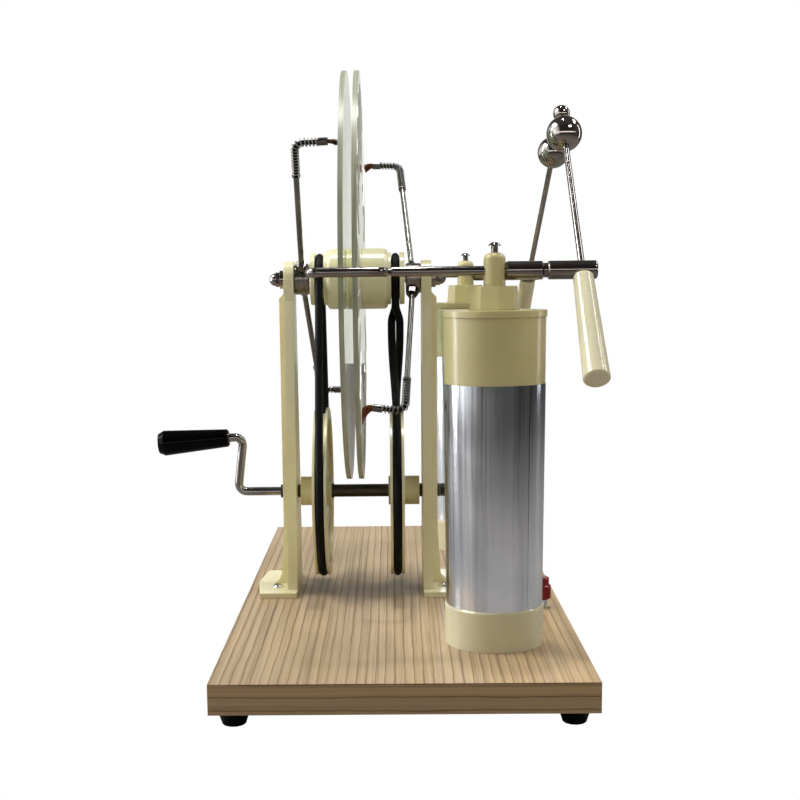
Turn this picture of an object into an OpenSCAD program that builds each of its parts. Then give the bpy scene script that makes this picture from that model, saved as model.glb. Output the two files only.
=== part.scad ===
// Hand-cranked electrostatic generator with two counter-turning discs, two charge jars,
// a pair of spark balls and two brush rods, on a wooden board.
// The modules draw in a working frame whose origin is the middle of the board's top face:
// X runs along the axles towards the spark balls, Y across them, Z up.

/* [Board] */
// Length of the board along the axles
board_w = 216; // [200:2:260]
// Length of the board across the axles
board_l = 458; // [430:2:520]
// Thickness of the board
board_t = 17.5; // [12:0.5:25]
// Height of a rubber foot
foot_h = 9; // [5:0.5:15]
// Diameter of a foot where it meets the board
foot_d = 19; // [14:0.5:30]
// Diameter of a foot where it stands
foot_tip_d = 14; // [8:0.5:14]
// Distance from the board's edges to the middle of a foot
foot_inset = 13; // [10:0.5:40]
// Depth of the screw pocket in a foot
foot_pocket = 4; // [2:0.5:4.5]

/* [Axles] */
// Distance from a disc's rim to the middle of the crank shaft
shaft_gap = 10; // [8:0.5:30]
// Height of the crank shaft above the board
lower_z = 70; // [66:1:80]
// Place of the middle of the uprights along the board
frame_x = -28; // [-32:0.5:-20]
// Diameter of the disc axle and of the crank rod
axle_d = 6; // [5:0.5:7]
// Clearance all round a turning shaft
run_fit = 0.05; // [0.02:0.01:0.1]
// End play beside a turning piece
end_play = 0.3; // [0.2:0.1:0.6]
// Thickness of an axle washer
washer_t = 3.2; // [1:0.1:4]
// Diameter of an axle washer
washer_d = 12.6; // [11:0.2:16]
// Width of an axle nut across its corners
nut_d = 10; // [9:0.5:11]
// Height of an axle nut's six-sided part
nut_h = 3; // [2:0.5:5]

/* [Uprights] */
// Thickness of the upright's plate
plate_t = 7; // [5:0.5:10]
// Height of the stiffening rib on the outer side
rib_h = 3.7; // [2:0.1:6]
// Width of the rib
rib_w = 11; // [9:0.5:14]
// Half width of the plate at the board
plate_half = 27; // [20:0.5:36]
// Radius of the plate's round top
top_r = 12.5; // [10:0.5:14]
// Height of the plate's straight top below the axle
top_l = 15; // [12:0.5:25]
// Half width of the foot plate
foot_half = 36.5; // [30:0.5:45]
// Reach of the foot plate from the inner face
flange_reach = 29; // [26:0.5:34]
// Thickness of the foot plate
flange_t = 3.8; // [3:0.1:6]
// Radius of the rib's curved root
root_r = 8; // [4:0.5:9]
// Distance from an upright's plate to its screw
screw_out = 7.7; // [6:0.1:10]
// Distance of an upright's screw from the middle
screw_y = 16; // [12:0.5:24]
// Diameter of an upright screw's head
screw_head_d = 8; // [6:0.5:9]
// Diameter of an upright screw's shank
screw_d = 4; // [3:0.5:4.5]

/* [Discs] */
// Diameter of a disc
disc_d = 280; // [250:2:300]
// Thickness of a disc
disc_t = 3.2; // [2:0.2:5]
// Gap between the two discs
disc_gap = 5.2; // [4:0.2:8]
// Shift of the pair of discs from the middle of the frame
disc_shift = -2.6; // [-4:0.2:4]
// Number of foil sectors on a disc
sector_n = 24; // [12:1:36]
// Length of a sector along the radius
sector_l = 48; // [30:1:55]
// Width of a sector at its outer end
sector_w = 13; // [6:0.5:16]
// Thickness of a sector
sector_t = 0.3; // [0.2:0.05:0.5]
// Distance from the rim to a sector
sector_in = 9; // [5:0.5:20]

/* [Hubs] */
// Radius of a hub's body
hub_r = 21; // [19:0.5:26]
// Mean length of a hub's body
hub_l = 15.5; // [12:0.5:22]
// Width of the lip between body and belt groove
lip_w = 2; // [1.5:0.1:3]
// Width of the outer belt flange
hub_flange_w = 3.3; // [2.5:0.1:5]
// Depth of the shoulder on a hub's body
shoulder = 3; // [1:0.5:5]
// Wall of a bearing bush
bush_wall = 2; // [1:0.25:3]
// Clearance between the two clamp rings
ring_gap = 0.6; // [0.4:0.1:1]

/* [Belts] */
// Thickness of a round belt
belt_d = 5.5; // [4:0.25:6]
// Radius of the belt's middle on the hub
hub_pitch_r = 15; // [14:0.5:16]
// Radius of the belt's middle on the drive pulley
drive_pitch_r = 58; // [50:0.5:60]
// Clearance between a belt and its groove
belt_fit = 0.3; // [0.2:0.05:0.5]
// Width of the rim beside the groove of a drive pulley
rim_side = 1.8; // [1.2:0.1:3]
// Thickness of the rim under the groove
rim_under = 3; // [2:0.5:6]
// Thickness of a drive pulley's web
web_t = 4; // [3:0.5:6]
// Radius of a drive pulley's hub
drive_hub_r = 10.3; // [8:0.1:14]

/* [Crank] */
// Reach of the crank's lower bend from the upright
crank_out = 32.5; // [20:0.5:45]
// Throw of the crank
crank_throw = 39.5; // [28:0.5:42]
// Lean of the crank's arm back towards the upright
crank_lean = 4.7; // [0:0.1:8]
// Radius of the crank's bends
crank_bend = 5.5; // [4:0.25:8]
// Length of the rod between the upper bend and the grip
grip_gap = 10.5; // [8:0.5:15]
// Tilt of the grip, outer end down
grip_tilt = 4.2; // [0:0.2:8]
// Length of the grip
grip_l = 50; // [40:1:70]
// Diameter of the grip at its outer end
grip_d = 18; // [15:0.5:24]
// Diameter of the grip at its inner end
grip_neck_d = 12.6; // [11:0.2:15]
// Depth of the rod in the grip
grip_bore_l = 43; // [30:1:46]
// Diameter of the tube between the drive pulleys
spacer_d = 9; // [8.5:0.5:14]

/* [Charge jars] */
// Place of the jars along the board
jar_x = 56; // [50:0.5:62]
// Diameter of a jar's cup at the bottom
cup_d = 57; // [50:0.5:60]
// Diameter of a jar's cup at the rim
cup_top_d = 61; // [58:0.5:66]
// Height of the bars above the cups
post_rise = 22.9; // [21:0.1:28]
// Wall of the cup
cup_wall = 2.2; // [1.5:0.1:3]
// Height of the rim's bead
bead_h = 4; // [2:0.5:6]
// How far the bead stands out
bead_out = 0.6; // [0.4:0.1:1.5]
// Diameter of the base holder
base_d = 60; // [60:0.5:70]
// Height of the base holder
base_h = 24.5; // [12:0.5:30]
// Height of the contact plate above the base holder
contact_rise = 12; // [6:1:40]
// Thickness of the base holder's floor
base_floor = 4; // [3:0.5:8]
// Height of the foil's upper edge
foil_top_z = 157.5; // [120:0.5:170]
// Thickness of a foil
foil_t = 0.3; // [0.2:0.05:0.5]
// Thickness of the lid
lid_t = 5; // [3:0.5:8]
// Width of the post nut across its corners at the foot
post_nut_d = 30; // [26:0.5:36]
// How much narrower the post nut is at the top
post_nut_taper = 2.6; // [0.6:0.2:4]
// Height of the post nut
post_nut_h = 14; // [8:0.5:14.5]
// Diameter of the post
post_d = 13; // [11:0.5:16]
// Height of the post above the bar
post_over = 10.5; // [8:0.5:14]

/* [Collectors and spark balls] */
// Diameter of the collector bar
bar_d = 5.8; // [5:0.1:7]
// Height of the bars above the disc axle
bar_rise = 3.4; // [0:0.2:6]
// Clearance between the bar and the disc's rim
rim_gap = 1; // [0.6:0.1:3]
// Reach of a collector's arms past the rim
arm_reach = 54; // [30:1:70]
// Gap between a collector's arm and the disc's face
arm_gap = 13.2; // [9:0.2:16]
// Radius of the collector's bend
bar_bend = 4; // [3:0.25:4.5]
// How far the fork's outer end stands past the bar
fork_out = 6.5; // [6:0.5:9]
// Distance between a collector's points
point_pitch = 10; // [8:0.5:11]
// Number of points on an arm
point_n = 4; // [2:1:4]
// Distance from an arm's tip to its first point
point_in = 5; // [3:0.5:8]
// Length of a collector point
point_l = 8; // [4:0.5:8]
// Diameter of a collector point
point_d = 1.4; // [1:0.1:2]
// Diameter of the sleeve and the swivel on the bar
swivel_d = 11; // [10:0.5:14]
// Length of the sleeve
sleeve_l = 22; // [12:0.5:26]
// Length of the swivel
swivel_l = 31.5; // [30:0.5:40]
// Length of the swivel's neck
neck_l = 2.5; // [1.5:0.5:6]
// Diameter of the swivel's neck
neck_d = 8.6; // [8.2:0.2:9.6]
// Length of the bar inside the swivel
swivel_bore_l = 15; // [10:0.5:17]
// Distance from the swivel's end to the electrode rod
rod_in = 8.8; // [7:0.2:10]
// Diameter of an electrode rod
rod_d = 4; // [3:0.25:4.5]
// Distance from the bar to the middle of a ball
ball_reach = 121.5; // [100:0.5:126]
// Diameter of a spark ball
ball_d = 23; // [18:0.5:26]
// Diameter of the small ball on the near electrode
tip_d = 11; // [8:0.5:12]
// Length of the neck between the two balls
tip_neck = 3; // [1:0.5:4]
// Angle of the electrodes above the level
rod_rise = 46; // [40:1:60]
// Sideways lean of the far electrode
far_lean = 3.8; // [0:0.2:4]
// Length of a handle
handle_l = 78; // [50:1:85]
// Diameter of a handle at the swivel
handle_neck_d = 12.2; // [10:0.2:14]
// Diameter of a handle at its end
handle_d = 15.3; // [12:0.2:18]

/* [Brush rods] */
// Length of a brush rod's boss along the axle
boss_l = 10.3; // [8:0.1:12]
// Diameter of the boss
boss_d = 21; // [18:0.5:24]
// Play between a boss and a hub
hub_play = 0.95; // [0.5:0.05:0.99]
// Angle of the brush rods from upright
arm_angle = 45; // [40:1:50]
// Distance from the axle to the spring
spring_r0 = 94; // [80:0.5:96]
// Diameter of an arm
arm_d = 3.8; // [3:0.1:4.5]
// Lean of the left near arm towards the disc
left_near_lean = 1; // [0:0.1:3]
// Lean of the left far arm towards the disc
left_far_lean = 3.3; // [0:0.1:5]
// Lean of the right near arm towards the disc
right_near_lean = 3.5; // [0:0.1:5]
// Lean of the right far arm towards the disc
right_far_lean = 3.9; // [0:0.1:5]
// Turn of the left near spring
left_near_turn = 86; // [76:1:96]
// Turn of the left far spring
left_far_turn = 86; // [76:1:96]
// Turn of the right near spring
right_near_turn = 96; // [76:1:96]
// Turn of the right far spring
right_far_turn = 84; // [76:1:96]
// Diameter of the spring wire
wire_d = 0.85; // [0.7:0.05:1]
// Mean radius of a spring's curls
curl_r = 2.35; // [2:0.05:2.5]
// Straight length of a spring along its arm
spring_l = 20; // [16:0.5:24]
// Radius of a spring's bend
spring_bend = 6; // [5.5:0.25:8]
// Number of curls in a spring
curl_n = 15; // [12:1:16]
// Length of a ferrule
ferrule_l = 6.2; // [4:0.2:8]
// Diameter of a ferrule
ferrule_d = 5; // [4.6:0.1:6]
// Free length of a brush
brush_l = 6.5; // [5:0.5:8]
// Number of strands in a brush
strand_n = 75; // [75:1:85]
// Radius of a strand
strand_r = 0.12; // [0.1:0.01:0.14]
// Clearance between a brush and a sector
brush_fit = 0.3; // [0.2:0.05:0.5]

/* [Terminals] */
// Place of the terminals along the board
terminal_x = 94; // [92:0.5:98]
// Distance of a terminal from the middle of the board
terminal_y = 64; // [50:1:90]
// Diameter of a terminal's metal base
terminal_base_d = 11; // [8:0.5:14]
// Height of a terminal's metal base
terminal_base_h = 5.5; // [3:0.5:8]
// Diameter of a terminal's knob
terminal_d = 13; // [10:0.5:18]
// Height of a terminal's knob
terminal_h = 15; // [10:0.5:20]
// Number of grooves round a knob
terminal_n = 16; // [10:1:20]

/* [Hidden] */

// Axial stack, measured from the middle of the frame
groove_half = belt_d / 2 + belt_fit;
disc_outer = disc_gap / 2 + disc_t;
body_end = disc_outer + hub_l;
belt_off = body_end + lip_w + groove_half;
hub_end = belt_off + groove_half + hub_flange_w;
boss_in = hub_end + hub_play;
face_in = boss_in + boss_l + end_play;
upright_t = plate_t + rib_h;
face_out = face_in + upright_t;
hub_flange_r = hub_pitch_r + 3;
bush_r = axle_d / 2 + run_fit + bush_wall;

// Heights of the bars and places of the jars
upper_z = lower_z + disc_d / 2 + shaft_gap;
bar_z = upper_z + bar_rise;
cup_top_z = bar_z - post_rise;
bar_y = disc_d / 2 + rim_gap + bar_d / 2;

// Crank shaft
drive_rim_half = groove_half + rim_side;
drive_flange_r = drive_pitch_r + 1.6;
bush_head_t = 1.8;
collar_in = 1.3;
drive_hub_end = face_in - bush_head_t - end_play;
crank_x = face_out + crank_out;
pin_x = crank_x - crank_lean;
grip_edge = 2;
grip_end = grip_gap + grip_l;
shaft_nut_h = 4;
shaft_end = face_out + bush_head_t + end_play + shaft_nut_h;

// Bar, sleeve and swivel along X
sleeve_x0 = jar_x + post_d / 2;
sleeve_x1 = sleeve_x0 + sleeve_l;
swivel_x0 = sleeve_x1 + end_play;
swivel_x1 = swivel_x0 + swivel_l;
rod_x = swivel_x1 - rod_in;
bar_end = swivel_x0 + swivel_bore_l;
tip_reach = ball_reach + ball_d / 2 + tip_neck + tip_d / 2;

// Collector arms along X
arm_left_x = frame_x + disc_shift - disc_outer - arm_gap - bar_d / 2;
arm_right_x = frame_x + disc_shift + disc_outer + arm_gap + bar_d / 2;

// The whole object in its own frame
x_low = frame_x - pin_x - max(
    grip_end * cos(grip_tilt) + (grip_d / 2 - grip_edge) * sin(grip_tilt),
    (grip_end - 2 * grip_edge) * cos(grip_tilt) + grip_d / 2 * sin(grip_tilt));
x_high = max(rod_x + ball_reach * sin(far_lean) + ball_d / 2, swivel_x1, board_w / 2);
x_mid = (x_low + x_high) / 2;
ground = board_t + foot_h;

// Small features
wood_screw_l = 12;
thread_d = 3;
bend_over = 4;
bend_slim = 0.05;
fine = 64;
sides = [-1, 1];

module in_place() {
    translate([-x_mid, 0, ground]) children();
}

// A cylinder along X from x0 to x1
module bar_x(x0, x1, r, n = fine) {
    translate([x0, 0, 0]) rotate([0, 90, 0]) cylinder(h = x1 - x0, r = r, $fn = n);
}

// A turned shape about X, from points of radius and distance along X
module turned_x(points) {
    rotate([0, 90, 0]) rotate_extrude($fn = 96) polygon(points);
}

// Mirrors a shape about the middle of the frame for the right-hand side
module on_side(side) {
    translate([frame_x, 0, 0])
        if (side < 0) children();
        else mirror([1, 0, 0]) children();
}

function unit(v) = v / norm(v);
function turn_of(a, b) = atan2(a[0] * b[1] - a[1] * b[0], a * b);
function left_of(a) = [-a[1], a[0]];

// A round rod bent in the XY plane, along corner points, with round bends
module bent_rod(points, bend, d) {
    last = len(points) - 1;
    dirs = [for (i = [0:last - 1]) unit(points[i + 1] - points[i])];
    turns = [for (i = [1:last - 1]) turn_of(dirs[i - 1], dirs[i])];
    cut = [for (i = [0:last]) i == 0 || i == last ? 0 : bend * tan(abs(turns[i - 1]) / 2)];
    for (i = [0:last - 1]) {
        start = points[i] + dirs[i] * cut[i];
        length = norm(points[i + 1] - points[i]) - cut[i] - cut[i + 1];
        translate([start[0], start[1], 0]) rotate([0, 0, atan2(dirs[i][1], dirs[i][0])])
            rotate([0, 90, 0]) cylinder(h = length, d = d, $fn = 32);
    }
    for (i = [1:last - 1]) {
        way = sign(turns[i - 1]);
        tangent = points[i] - dirs[i - 1] * cut[i];
        centre = tangent + left_of(dirs[i - 1]) * bend * way;
        from = tangent - centre;
        start_angle = atan2(from[1], from[0]) + min(0, turns[i - 1]);
        translate([centre[0], centre[1], 0]) rotate([0, 0, start_angle - bend_over])
            rotate_extrude(angle = abs(turns[i - 1]) + 2 * bend_over, $fn = 96)
                translate([bend, 0]) circle(d = d - 2 * bend_slim, $fn = 32);
    }
}

// Rings of a tube: one ring of points square to the path at each path point
function path_dir(p, i, closed) =
    let (n = len(p))
    closed ? unit(p[(i + 1) % n] - p[(i + n - 1) % n])
        : unit(p[min(i + 1, n - 1)] - p[max(i - 1, 0)]);
function ring_at(c, t, up, r, n) =
    let (u = unit(up - (up * t) * t), v = cross(t, u))
    [for (k = [0:n - 1]) c + r * cos(360 * k / n) * u + r * sin(360 * k / n) * v];
function quad(a, b, k, n) =
    let (j = (k + 1) % n)
    [[a * n + k, a * n + j, b * n + j], [a * n + k, b * n + j, b * n + k]];

// A tube along a path; ups holds one vector a point that sets the ring's first corner
module tube(path, ups, r, n, closed = false) {
    m = len(path);
    points = [for (i = [0:m - 1]) each ring_at(path[i], path_dir(path, i, closed), ups[i], r, n)];
    walls = [for (i = [0:closed ? m - 1 : m - 2]) for (k = [0:n - 1]) each quad(i, (i + 1) % m, k, n)];
    caps = closed ? [] : concat(
        [for (k = [1:n - 2]) [0, k + 1, k]],
        [for (k = [1:n - 2]) let (b = (m - 1) * n) [b, b + k, b + k + 1]]);
    polyhedron(points = points, faces = [for (f = concat(walls, caps)) [f[0], f[2], f[1]]]);
}

module board() {
    color([0.72, 0.6, 0.48]) in_place() difference() {
        translate([-board_w / 2, -board_l / 2, -board_t]) cube([board_w, board_l, board_t]);
        for (s = sides) translate([upright_screw_x(s), -screw_y, -wood_screw_l])
            cylinder(h = wood_screw_l + 1, d = screw_d, $fn = 32);
        for (p = foot_places())
            translate([p[0], p[1], -board_t - 1]) cylinder(h = wood_screw_l - foot_h + foot_pocket + 1, d = thread_d, $fn = 32);
        for (s = sides)
            translate([terminal_x, s * terminal_y, -board_t - 1]) cylinder(h = board_t + 2, d = thread_d, $fn = 32);
    }
}

function foot_places() = [for (sx = sides) for (sy = sides)
    [sx * (board_w / 2 - foot_inset), sy * (board_l / 2 - foot_inset)]];

// A rubber foot with a rounded lower edge and a screw pocket
module feet() {
    edge = 1.5;
    tip_r = foot_tip_d / 2;
    color([0.1, 0.1, 0.1]) in_place() for (p = foot_places())
        translate([p[0], p[1], -ground]) difference() {
            rotate_extrude($fn = fine) polygon(concat(
                [[0, 0]],
                [for (a = [0:15:90]) [tip_r - edge + edge * sin(a), edge - edge * cos(a)]],
                [[foot_d / 2, foot_h], [0, foot_h]]));
            translate([0, 0, -1]) cylinder(h = foot_pocket + 1, d = foot_tip_d / 2, $fn = 32);
            cylinder(h = foot_h + 1, d = thread_d, $fn = 32);
        }
}

module foot_screws() {
    head_h = 2;
    color([0.75, 0.75, 0.75]) in_place() for (p = foot_places())
        translate([p[0], p[1], -ground + foot_pocket]) {
            cylinder(h = wood_screw_l, d = thread_d, $fn = 32);
            difference() {
                translate([0, 0, -head_h]) cylinder(h = head_h, d = foot_tip_d / 2 - 1, $fn = 32);
                translate([-2, -0.4, -head_h - 1]) cube([4, 0.8, 1.8]);
            }
        }
}

function upright_screw_x(side) = frame_x + side * (face_in + plate_t + screw_out);

// The left upright, from its inner face outwards, about the middle of the frame
module upright_shape() {
    neck_z = upper_z - top_l;
    rib_top = upper_z - washer_d / 2 - 3;
    outer = face_in + flange_reach;
    bulge = 3.4;
    flare = 2;
    flare_z = 45;
    difference() {
        union() {
            translate([-face_in, 0, 0]) rotate([0, -90, 0]) linear_extrude(plate_t) polygon([
                [0, -plate_half], [neck_z, -top_r], [upper_z, -top_r],
                [upper_z, top_r], [neck_z, top_r], [0, plate_half]]);
            translate([0, 0, upper_z]) bar_x(-face_in - plate_t, -face_in, top_r);
            translate([0, rib_w / 2, 0]) rotate([90, 0, 0]) linear_extrude(rib_w)
                polygon(concat(
                    [[-face_in - 1, 0], [-face_in - 1, rib_top], [-face_in - plate_t, rib_top],
                        [-face_out, rib_top - rib_h], [-face_out, flare_z]],
                    [for (a = [0:10:80]) [-face_out - flare - root_r * (1 - cos(a)),
                        flange_t + root_r * (1 - sin(a))]],
                    [[-face_out - flare - root_r, flange_t], [-face_out - flare - root_r, 0]]));
            linear_extrude(flange_t) polygon([
                [-face_in, -foot_half], [-face_in, foot_half], [-outer + bulge, foot_half],
                [-outer, foot_half / 6], [-outer, -foot_half / 6], [-outer + bulge, -foot_half]]);
        }
        translate([0, 0, upper_z]) bar_x(-face_out - 1, 0, axle_d / 2);
        translate([0, 0, lower_z]) bar_x(-face_out - 1, 0, shaft_bush_r());
        translate([upright_screw_x(-1) - frame_x, -screw_y, -1])
            cylinder(h = flange_t + 2, d = screw_d, $fn = 32);
    }
}

function shaft_bush_r() = axle_d / 2 + run_fit + 1;

module left_upright() {
    color([0.93, 0.91, 0.76]) in_place() on_side(-1) upright_shape();
}

module right_upright() {
    color([0.93, 0.91, 0.76]) in_place() on_side(1) upright_shape();
}

// A pan-headed cross-slot screw standing on z = 0
module pan_screw(head, shank, length) {
    rise = head * 0.3;
    difference() {
        union() {
            intersection() {
                translate([0, 0, rise - head * 0.6]) sphere(r = head * 0.6, $fn = 48);
                cylinder(h = rise, d = head, $fn = 48);
            }
            translate([0, 0, -length]) cylinder(h = length + rise / 2, d = shank, $fn = 32);
        }
        for (a = [0, 90]) rotate([0, 0, a])
            translate([-head * 0.28, -head * 0.06, rise * 0.6]) cube([head * 0.56, head * 0.12, rise]);
    }
}

module upright_screws() {
    color([0.6, 0.6, 0.6]) in_place() for (s = sides)
        translate([upright_screw_x(s), -screw_y, flange_t])
            pan_screw(screw_head_d, screw_d, flange_t + wood_screw_l);
}

module upper_axle() {
    reach = face_in + plate_t + washer_t + nut_h - end_play;
    color([0.5, 0.5, 0.5]) in_place() translate([frame_x, 0, upper_z]) bar_x(-reach, reach, axle_d / 2);
}

module axle_washers() {
    x = face_in + plate_t;
    color([0.35, 0.35, 0.36]) in_place() for (s = sides) on_side(s) translate([0, 0, upper_z])
        difference() {
            bar_x(-x - washer_t, -x, washer_d / 2);
            bar_x(-x - washer_t - 1, -x + 1, axle_d / 2);
        }
}

// Domed nuts on the ends of the disc axle
module axle_nuts() {
    x = face_in + plate_t + washer_t;
    dome_r = nut_d / 2 - 0.6;
    color([0.6, 0.6, 0.6]) in_place() for (s = sides) on_side(s) translate([0, 0, upper_z])
        difference() {
            union() {
                bar_x(-x - nut_h, -x, nut_d / 2, 6);
                turned_x(concat(
                    [for (a = [0:10:90]) [dome_r * sin(a), -x - nut_h - dome_r * cos(a)]],
                    [[dome_r, -x - nut_h + 0.5], [0, -x - nut_h + 0.5]]));
            }
            bar_x(-x - nut_h, -x + 1, axle_d / 2 + run_fit);
        }
}

// Flanged bushes that carry the crank shaft
module shaft_bushes() {
    head_r = axle_d / 2 + 1.7;
    color([0.2, 0.2, 0.2]) in_place() for (s = sides) on_side(s) translate([0, 0, lower_z])
        difference() {
            union() {
                bar_x(-face_out, -face_in, shaft_bush_r());
                bar_x(-face_in, -face_in + bush_head_t, head_r);
                bar_x(-face_out - bush_head_t, -face_out, head_r);
            }
            bar_x(-face_out - 2, -face_in + 2, axle_d / 2 + run_fit);
        }
}

// Belt geometry: angle of the free strands from upright
axle_rise = upper_z - lower_z;
open_tilt = asin((drive_pitch_r - hub_pitch_r) / axle_rise);
cross_tilt = asin((drive_pitch_r + hub_pitch_r) / axle_rise);

function arc_points(r, z, from, to, steps) =
    [for (i = [0:steps]) let (a = from + (to - from) * i / steps) [0, r * cos(a), z + r * sin(a)]];

// Crossed strands pass each other sideways where they cross; near the pulleys they run straight.
// The share of a strand is counted from the hub.
cross_at = hub_pitch_r / (hub_pitch_r + drive_pitch_r);
swell_from = cross_at * 0.45;
swell_full = cross_at * 1.3;
swell_to = 0.8;
function ease(u) = (1 - cos(180 * u)) / 2;
function swell(t) = t < swell_from || t > swell_to ? 0
    : t < cross_at ? ease((t - swell_from) / (cross_at - swell_from))
    : t < swell_full ? 1
    : ease((swell_to - t) / (swell_to - swell_full));

// Strand from a point on the hub to one on the drive pulley
function strand_points(hub_end, drive_end, bulge, steps) =
    [for (i = [1:steps - 1]) let (t = i / steps)
        hub_end + (drive_end - hub_end) * t + [bulge * swell(t), 0, 0]];
function backwards(v) = [for (i = [len(v) - 1:-1:0]) v[i]];

open_hub_arc = arc_points(hub_pitch_r, upper_z, open_tilt, 180 - open_tilt, 16);
open_drive_arc = arc_points(drive_pitch_r, lower_z, 180 - open_tilt, 360 + open_tilt, 28);
cross_hub_arc = arc_points(hub_pitch_r, upper_z, -cross_tilt, 180 + cross_tilt, 20);
cross_drive_arc = arc_points(drive_pitch_r, lower_z, 180 - cross_tilt, 360 + cross_tilt, 30);
cross_bulge = (belt_d + belt_fit) / 2;

function last_of(v) = v[len(v) - 1];

module belt(points) {
    tube(points, [for (p = points) [1, 0, 0]], belt_d / 2, 10, true);
}

module open_belt() {
    color([0.08, 0.08, 0.08]) in_place() translate([frame_x - belt_off, 0, 0]) belt(concat(
        open_hub_arc,
        strand_points(last_of(open_hub_arc), open_drive_arc[0], 0, 4),
        open_drive_arc,
        backwards(strand_points(open_hub_arc[0], last_of(open_drive_arc), 0, 4))));
}

module crossed_belt() {
    color([0.08, 0.08, 0.08]) in_place() translate([frame_x + belt_off, 0, 0]) belt(concat(
        cross_hub_arc,
        strand_points(last_of(cross_hub_arc), last_of(cross_drive_arc), cross_bulge, 40),
        backwards(cross_drive_arc),
        backwards(strand_points(cross_hub_arc[0], cross_drive_arc[0], -cross_bulge, 40))));
}

// Charge jars: the near one at -Y and the far one at +Y
module at_jar(side) {
    translate([jar_x, side * bar_y, 0]) children();
}

function cup_r(z) = cup_d / 2 + (cup_top_d - cup_d) / 2 * (z - base_floor) / (cup_top_z - base_floor);

module jar_bases() {
    color([0.93, 0.91, 0.76]) in_place() for (s = sides) at_jar(s) rotate_extrude($fn = 96)
        polygon([[0, 0], [base_d / 2, 0], [base_d / 2, base_h - 1], [base_d / 2 - 1, base_h],
            [cup_r(base_h), base_h], [cup_r(base_floor), base_floor], [0, base_floor]]);
}

module jar_cup(side) {
    inner = cup_wall;
    at_jar(side) rotate_extrude($fn = 96) polygon([
        [0, base_floor], [cup_r(base_floor), base_floor], [cup_r(cup_top_z - bead_h), cup_top_z - bead_h],
        [cup_r(cup_top_z) + bead_out, cup_top_z - bead_h], [cup_r(cup_top_z) + bead_out, cup_top_z],
        [cup_r(cup_top_z) - inner, cup_top_z], [cup_r(base_floor + inner) - inner, base_floor + inner],
        [0, base_floor + inner]]);
}

module near_jar_cup() {
    color([0.93, 0.91, 0.76]) in_place() jar_cup(-1);
}

module far_jar_cup() {
    color([0.93, 0.91, 0.76]) in_place() jar_cup(1);
}

// A thin sleeve of foil on the cup's outside or inside
module foil(z0, z1, out) {
    rotate_extrude($fn = 96) polygon([
        [cup_r(z0) + out, z0], [cup_r(z0) + out + foil_t, z0],
        [cup_r(z1) + out + foil_t, z1], [cup_r(z1) + out, z1]]);
}

module jar_foils() {
    color([0.8, 0.8, 0.82]) in_place() for (s = sides) at_jar(s) foil(base_h, foil_top_z, 0);
}

module inner_foils() {
    color([0.8, 0.8, 0.82]) in_place() for (s = sides) at_jar(s)
        foil(base_h, foil_top_z, -cup_wall - foil_t - end_play);
}

// A stepped lid: a plug inside the cup, level with its rim
module jar_lids() {
    color([0.93, 0.91, 0.76]) in_place() for (s = sides) at_jar(s) difference() {
        rotate_extrude($fn = 96) polygon([[0, cup_top_z - lid_t],
            [cup_r(cup_top_z - lid_t) - cup_wall, cup_top_z - lid_t],
            [cup_r(cup_top_z) - cup_wall, cup_top_z],
            [0, cup_top_z]]);
        translate([0, 0, cup_top_z - lid_t - 1]) cylinder(h = lid_t + 2, d = jar_rod_d, $fn = 32);
    }
}

// Eight-sided post nut with tapered flats
module post_nuts() {
    flat = cos(22.5) / 2;
    low = post_nut_d * flat;
    high = (post_nut_d - post_nut_taper) * flat;
    color([0.93, 0.91, 0.76]) in_place() for (s = sides) at_jar(s) translate([0, 0, cup_top_z])
        difference() {
            intersection_for (k = [0:3]) rotate([0, 0, 45 * k + 28.5]) rotate([90, 0, 0])
                translate([0, 0, -post_nut_d]) linear_extrude(2 * post_nut_d)
                    polygon([[-low, 0], [low, 0], [high, post_nut_h], [-high, post_nut_h]]);
            translate([0, 0, -1]) cylinder(h = post_nut_h + 2, d = post_d, $fn = 48);
        }
}

// Domed post with a cross bore for the bar and a threaded hole from above
module posts() {
    r = post_d / 2;
    dome = 4;
    top = bar_z + post_over;
    color([0.93, 0.91, 0.76]) in_place() for (s = sides) at_jar(s) difference() {
        translate([0, 0, cup_top_z]) rotate_extrude($fn = 64) polygon(concat(
            [[0, 0], [r, 0]],
            [for (a = [0:10:90]) [r - dome + dome * cos(a), top - cup_top_z - dome + dome * sin(a)]],
            [[0, top - cup_top_z]]));
        translate([0, 0, bar_z]) bar_x(-post_d, post_d, bar_d / 2);
        translate([0, 0, bar_z]) cylinder(h = post_over + 1, d = screw_d, $fn = 32);
        translate([0, 0, cup_top_z - 1]) cylinder(h = bar_z - cup_top_z + 1, d = jar_rod_d, $fn = 32);
    }
}

clamp_stand = 4;
clamp_head_d = 7.6;
jar_rod_d = 5;
jar_rod_top = bar_z - bar_d / 2 - end_play;

module clamp_screws() {
    color([0.5, 0.5, 0.5]) in_place() for (s = sides) at_jar(s)
        translate([0, 0, bar_z + post_over + clamp_stand])
            pan_screw(clamp_head_d, screw_d, post_over + clamp_stand - bar_d / 2);
}

// Rod from the post down to a spring plate that touches the inner foil
module jar_rods() {
    foot_z = base_h + contact_rise;
    color([0.75, 0.65, 0.35]) in_place() for (s = sides) at_jar(s) {
        translate([0, 0, foot_z]) cylinder(h = jar_rod_top - foot_z, d = jar_rod_d, $fn = 32);
        translate([0, 0, foot_z - 1]) cylinder(h = 1,
            r = cup_r(foot_z - 1) - cup_wall - foil_t - 0.3, $fn = 96);
    }
}

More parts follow.
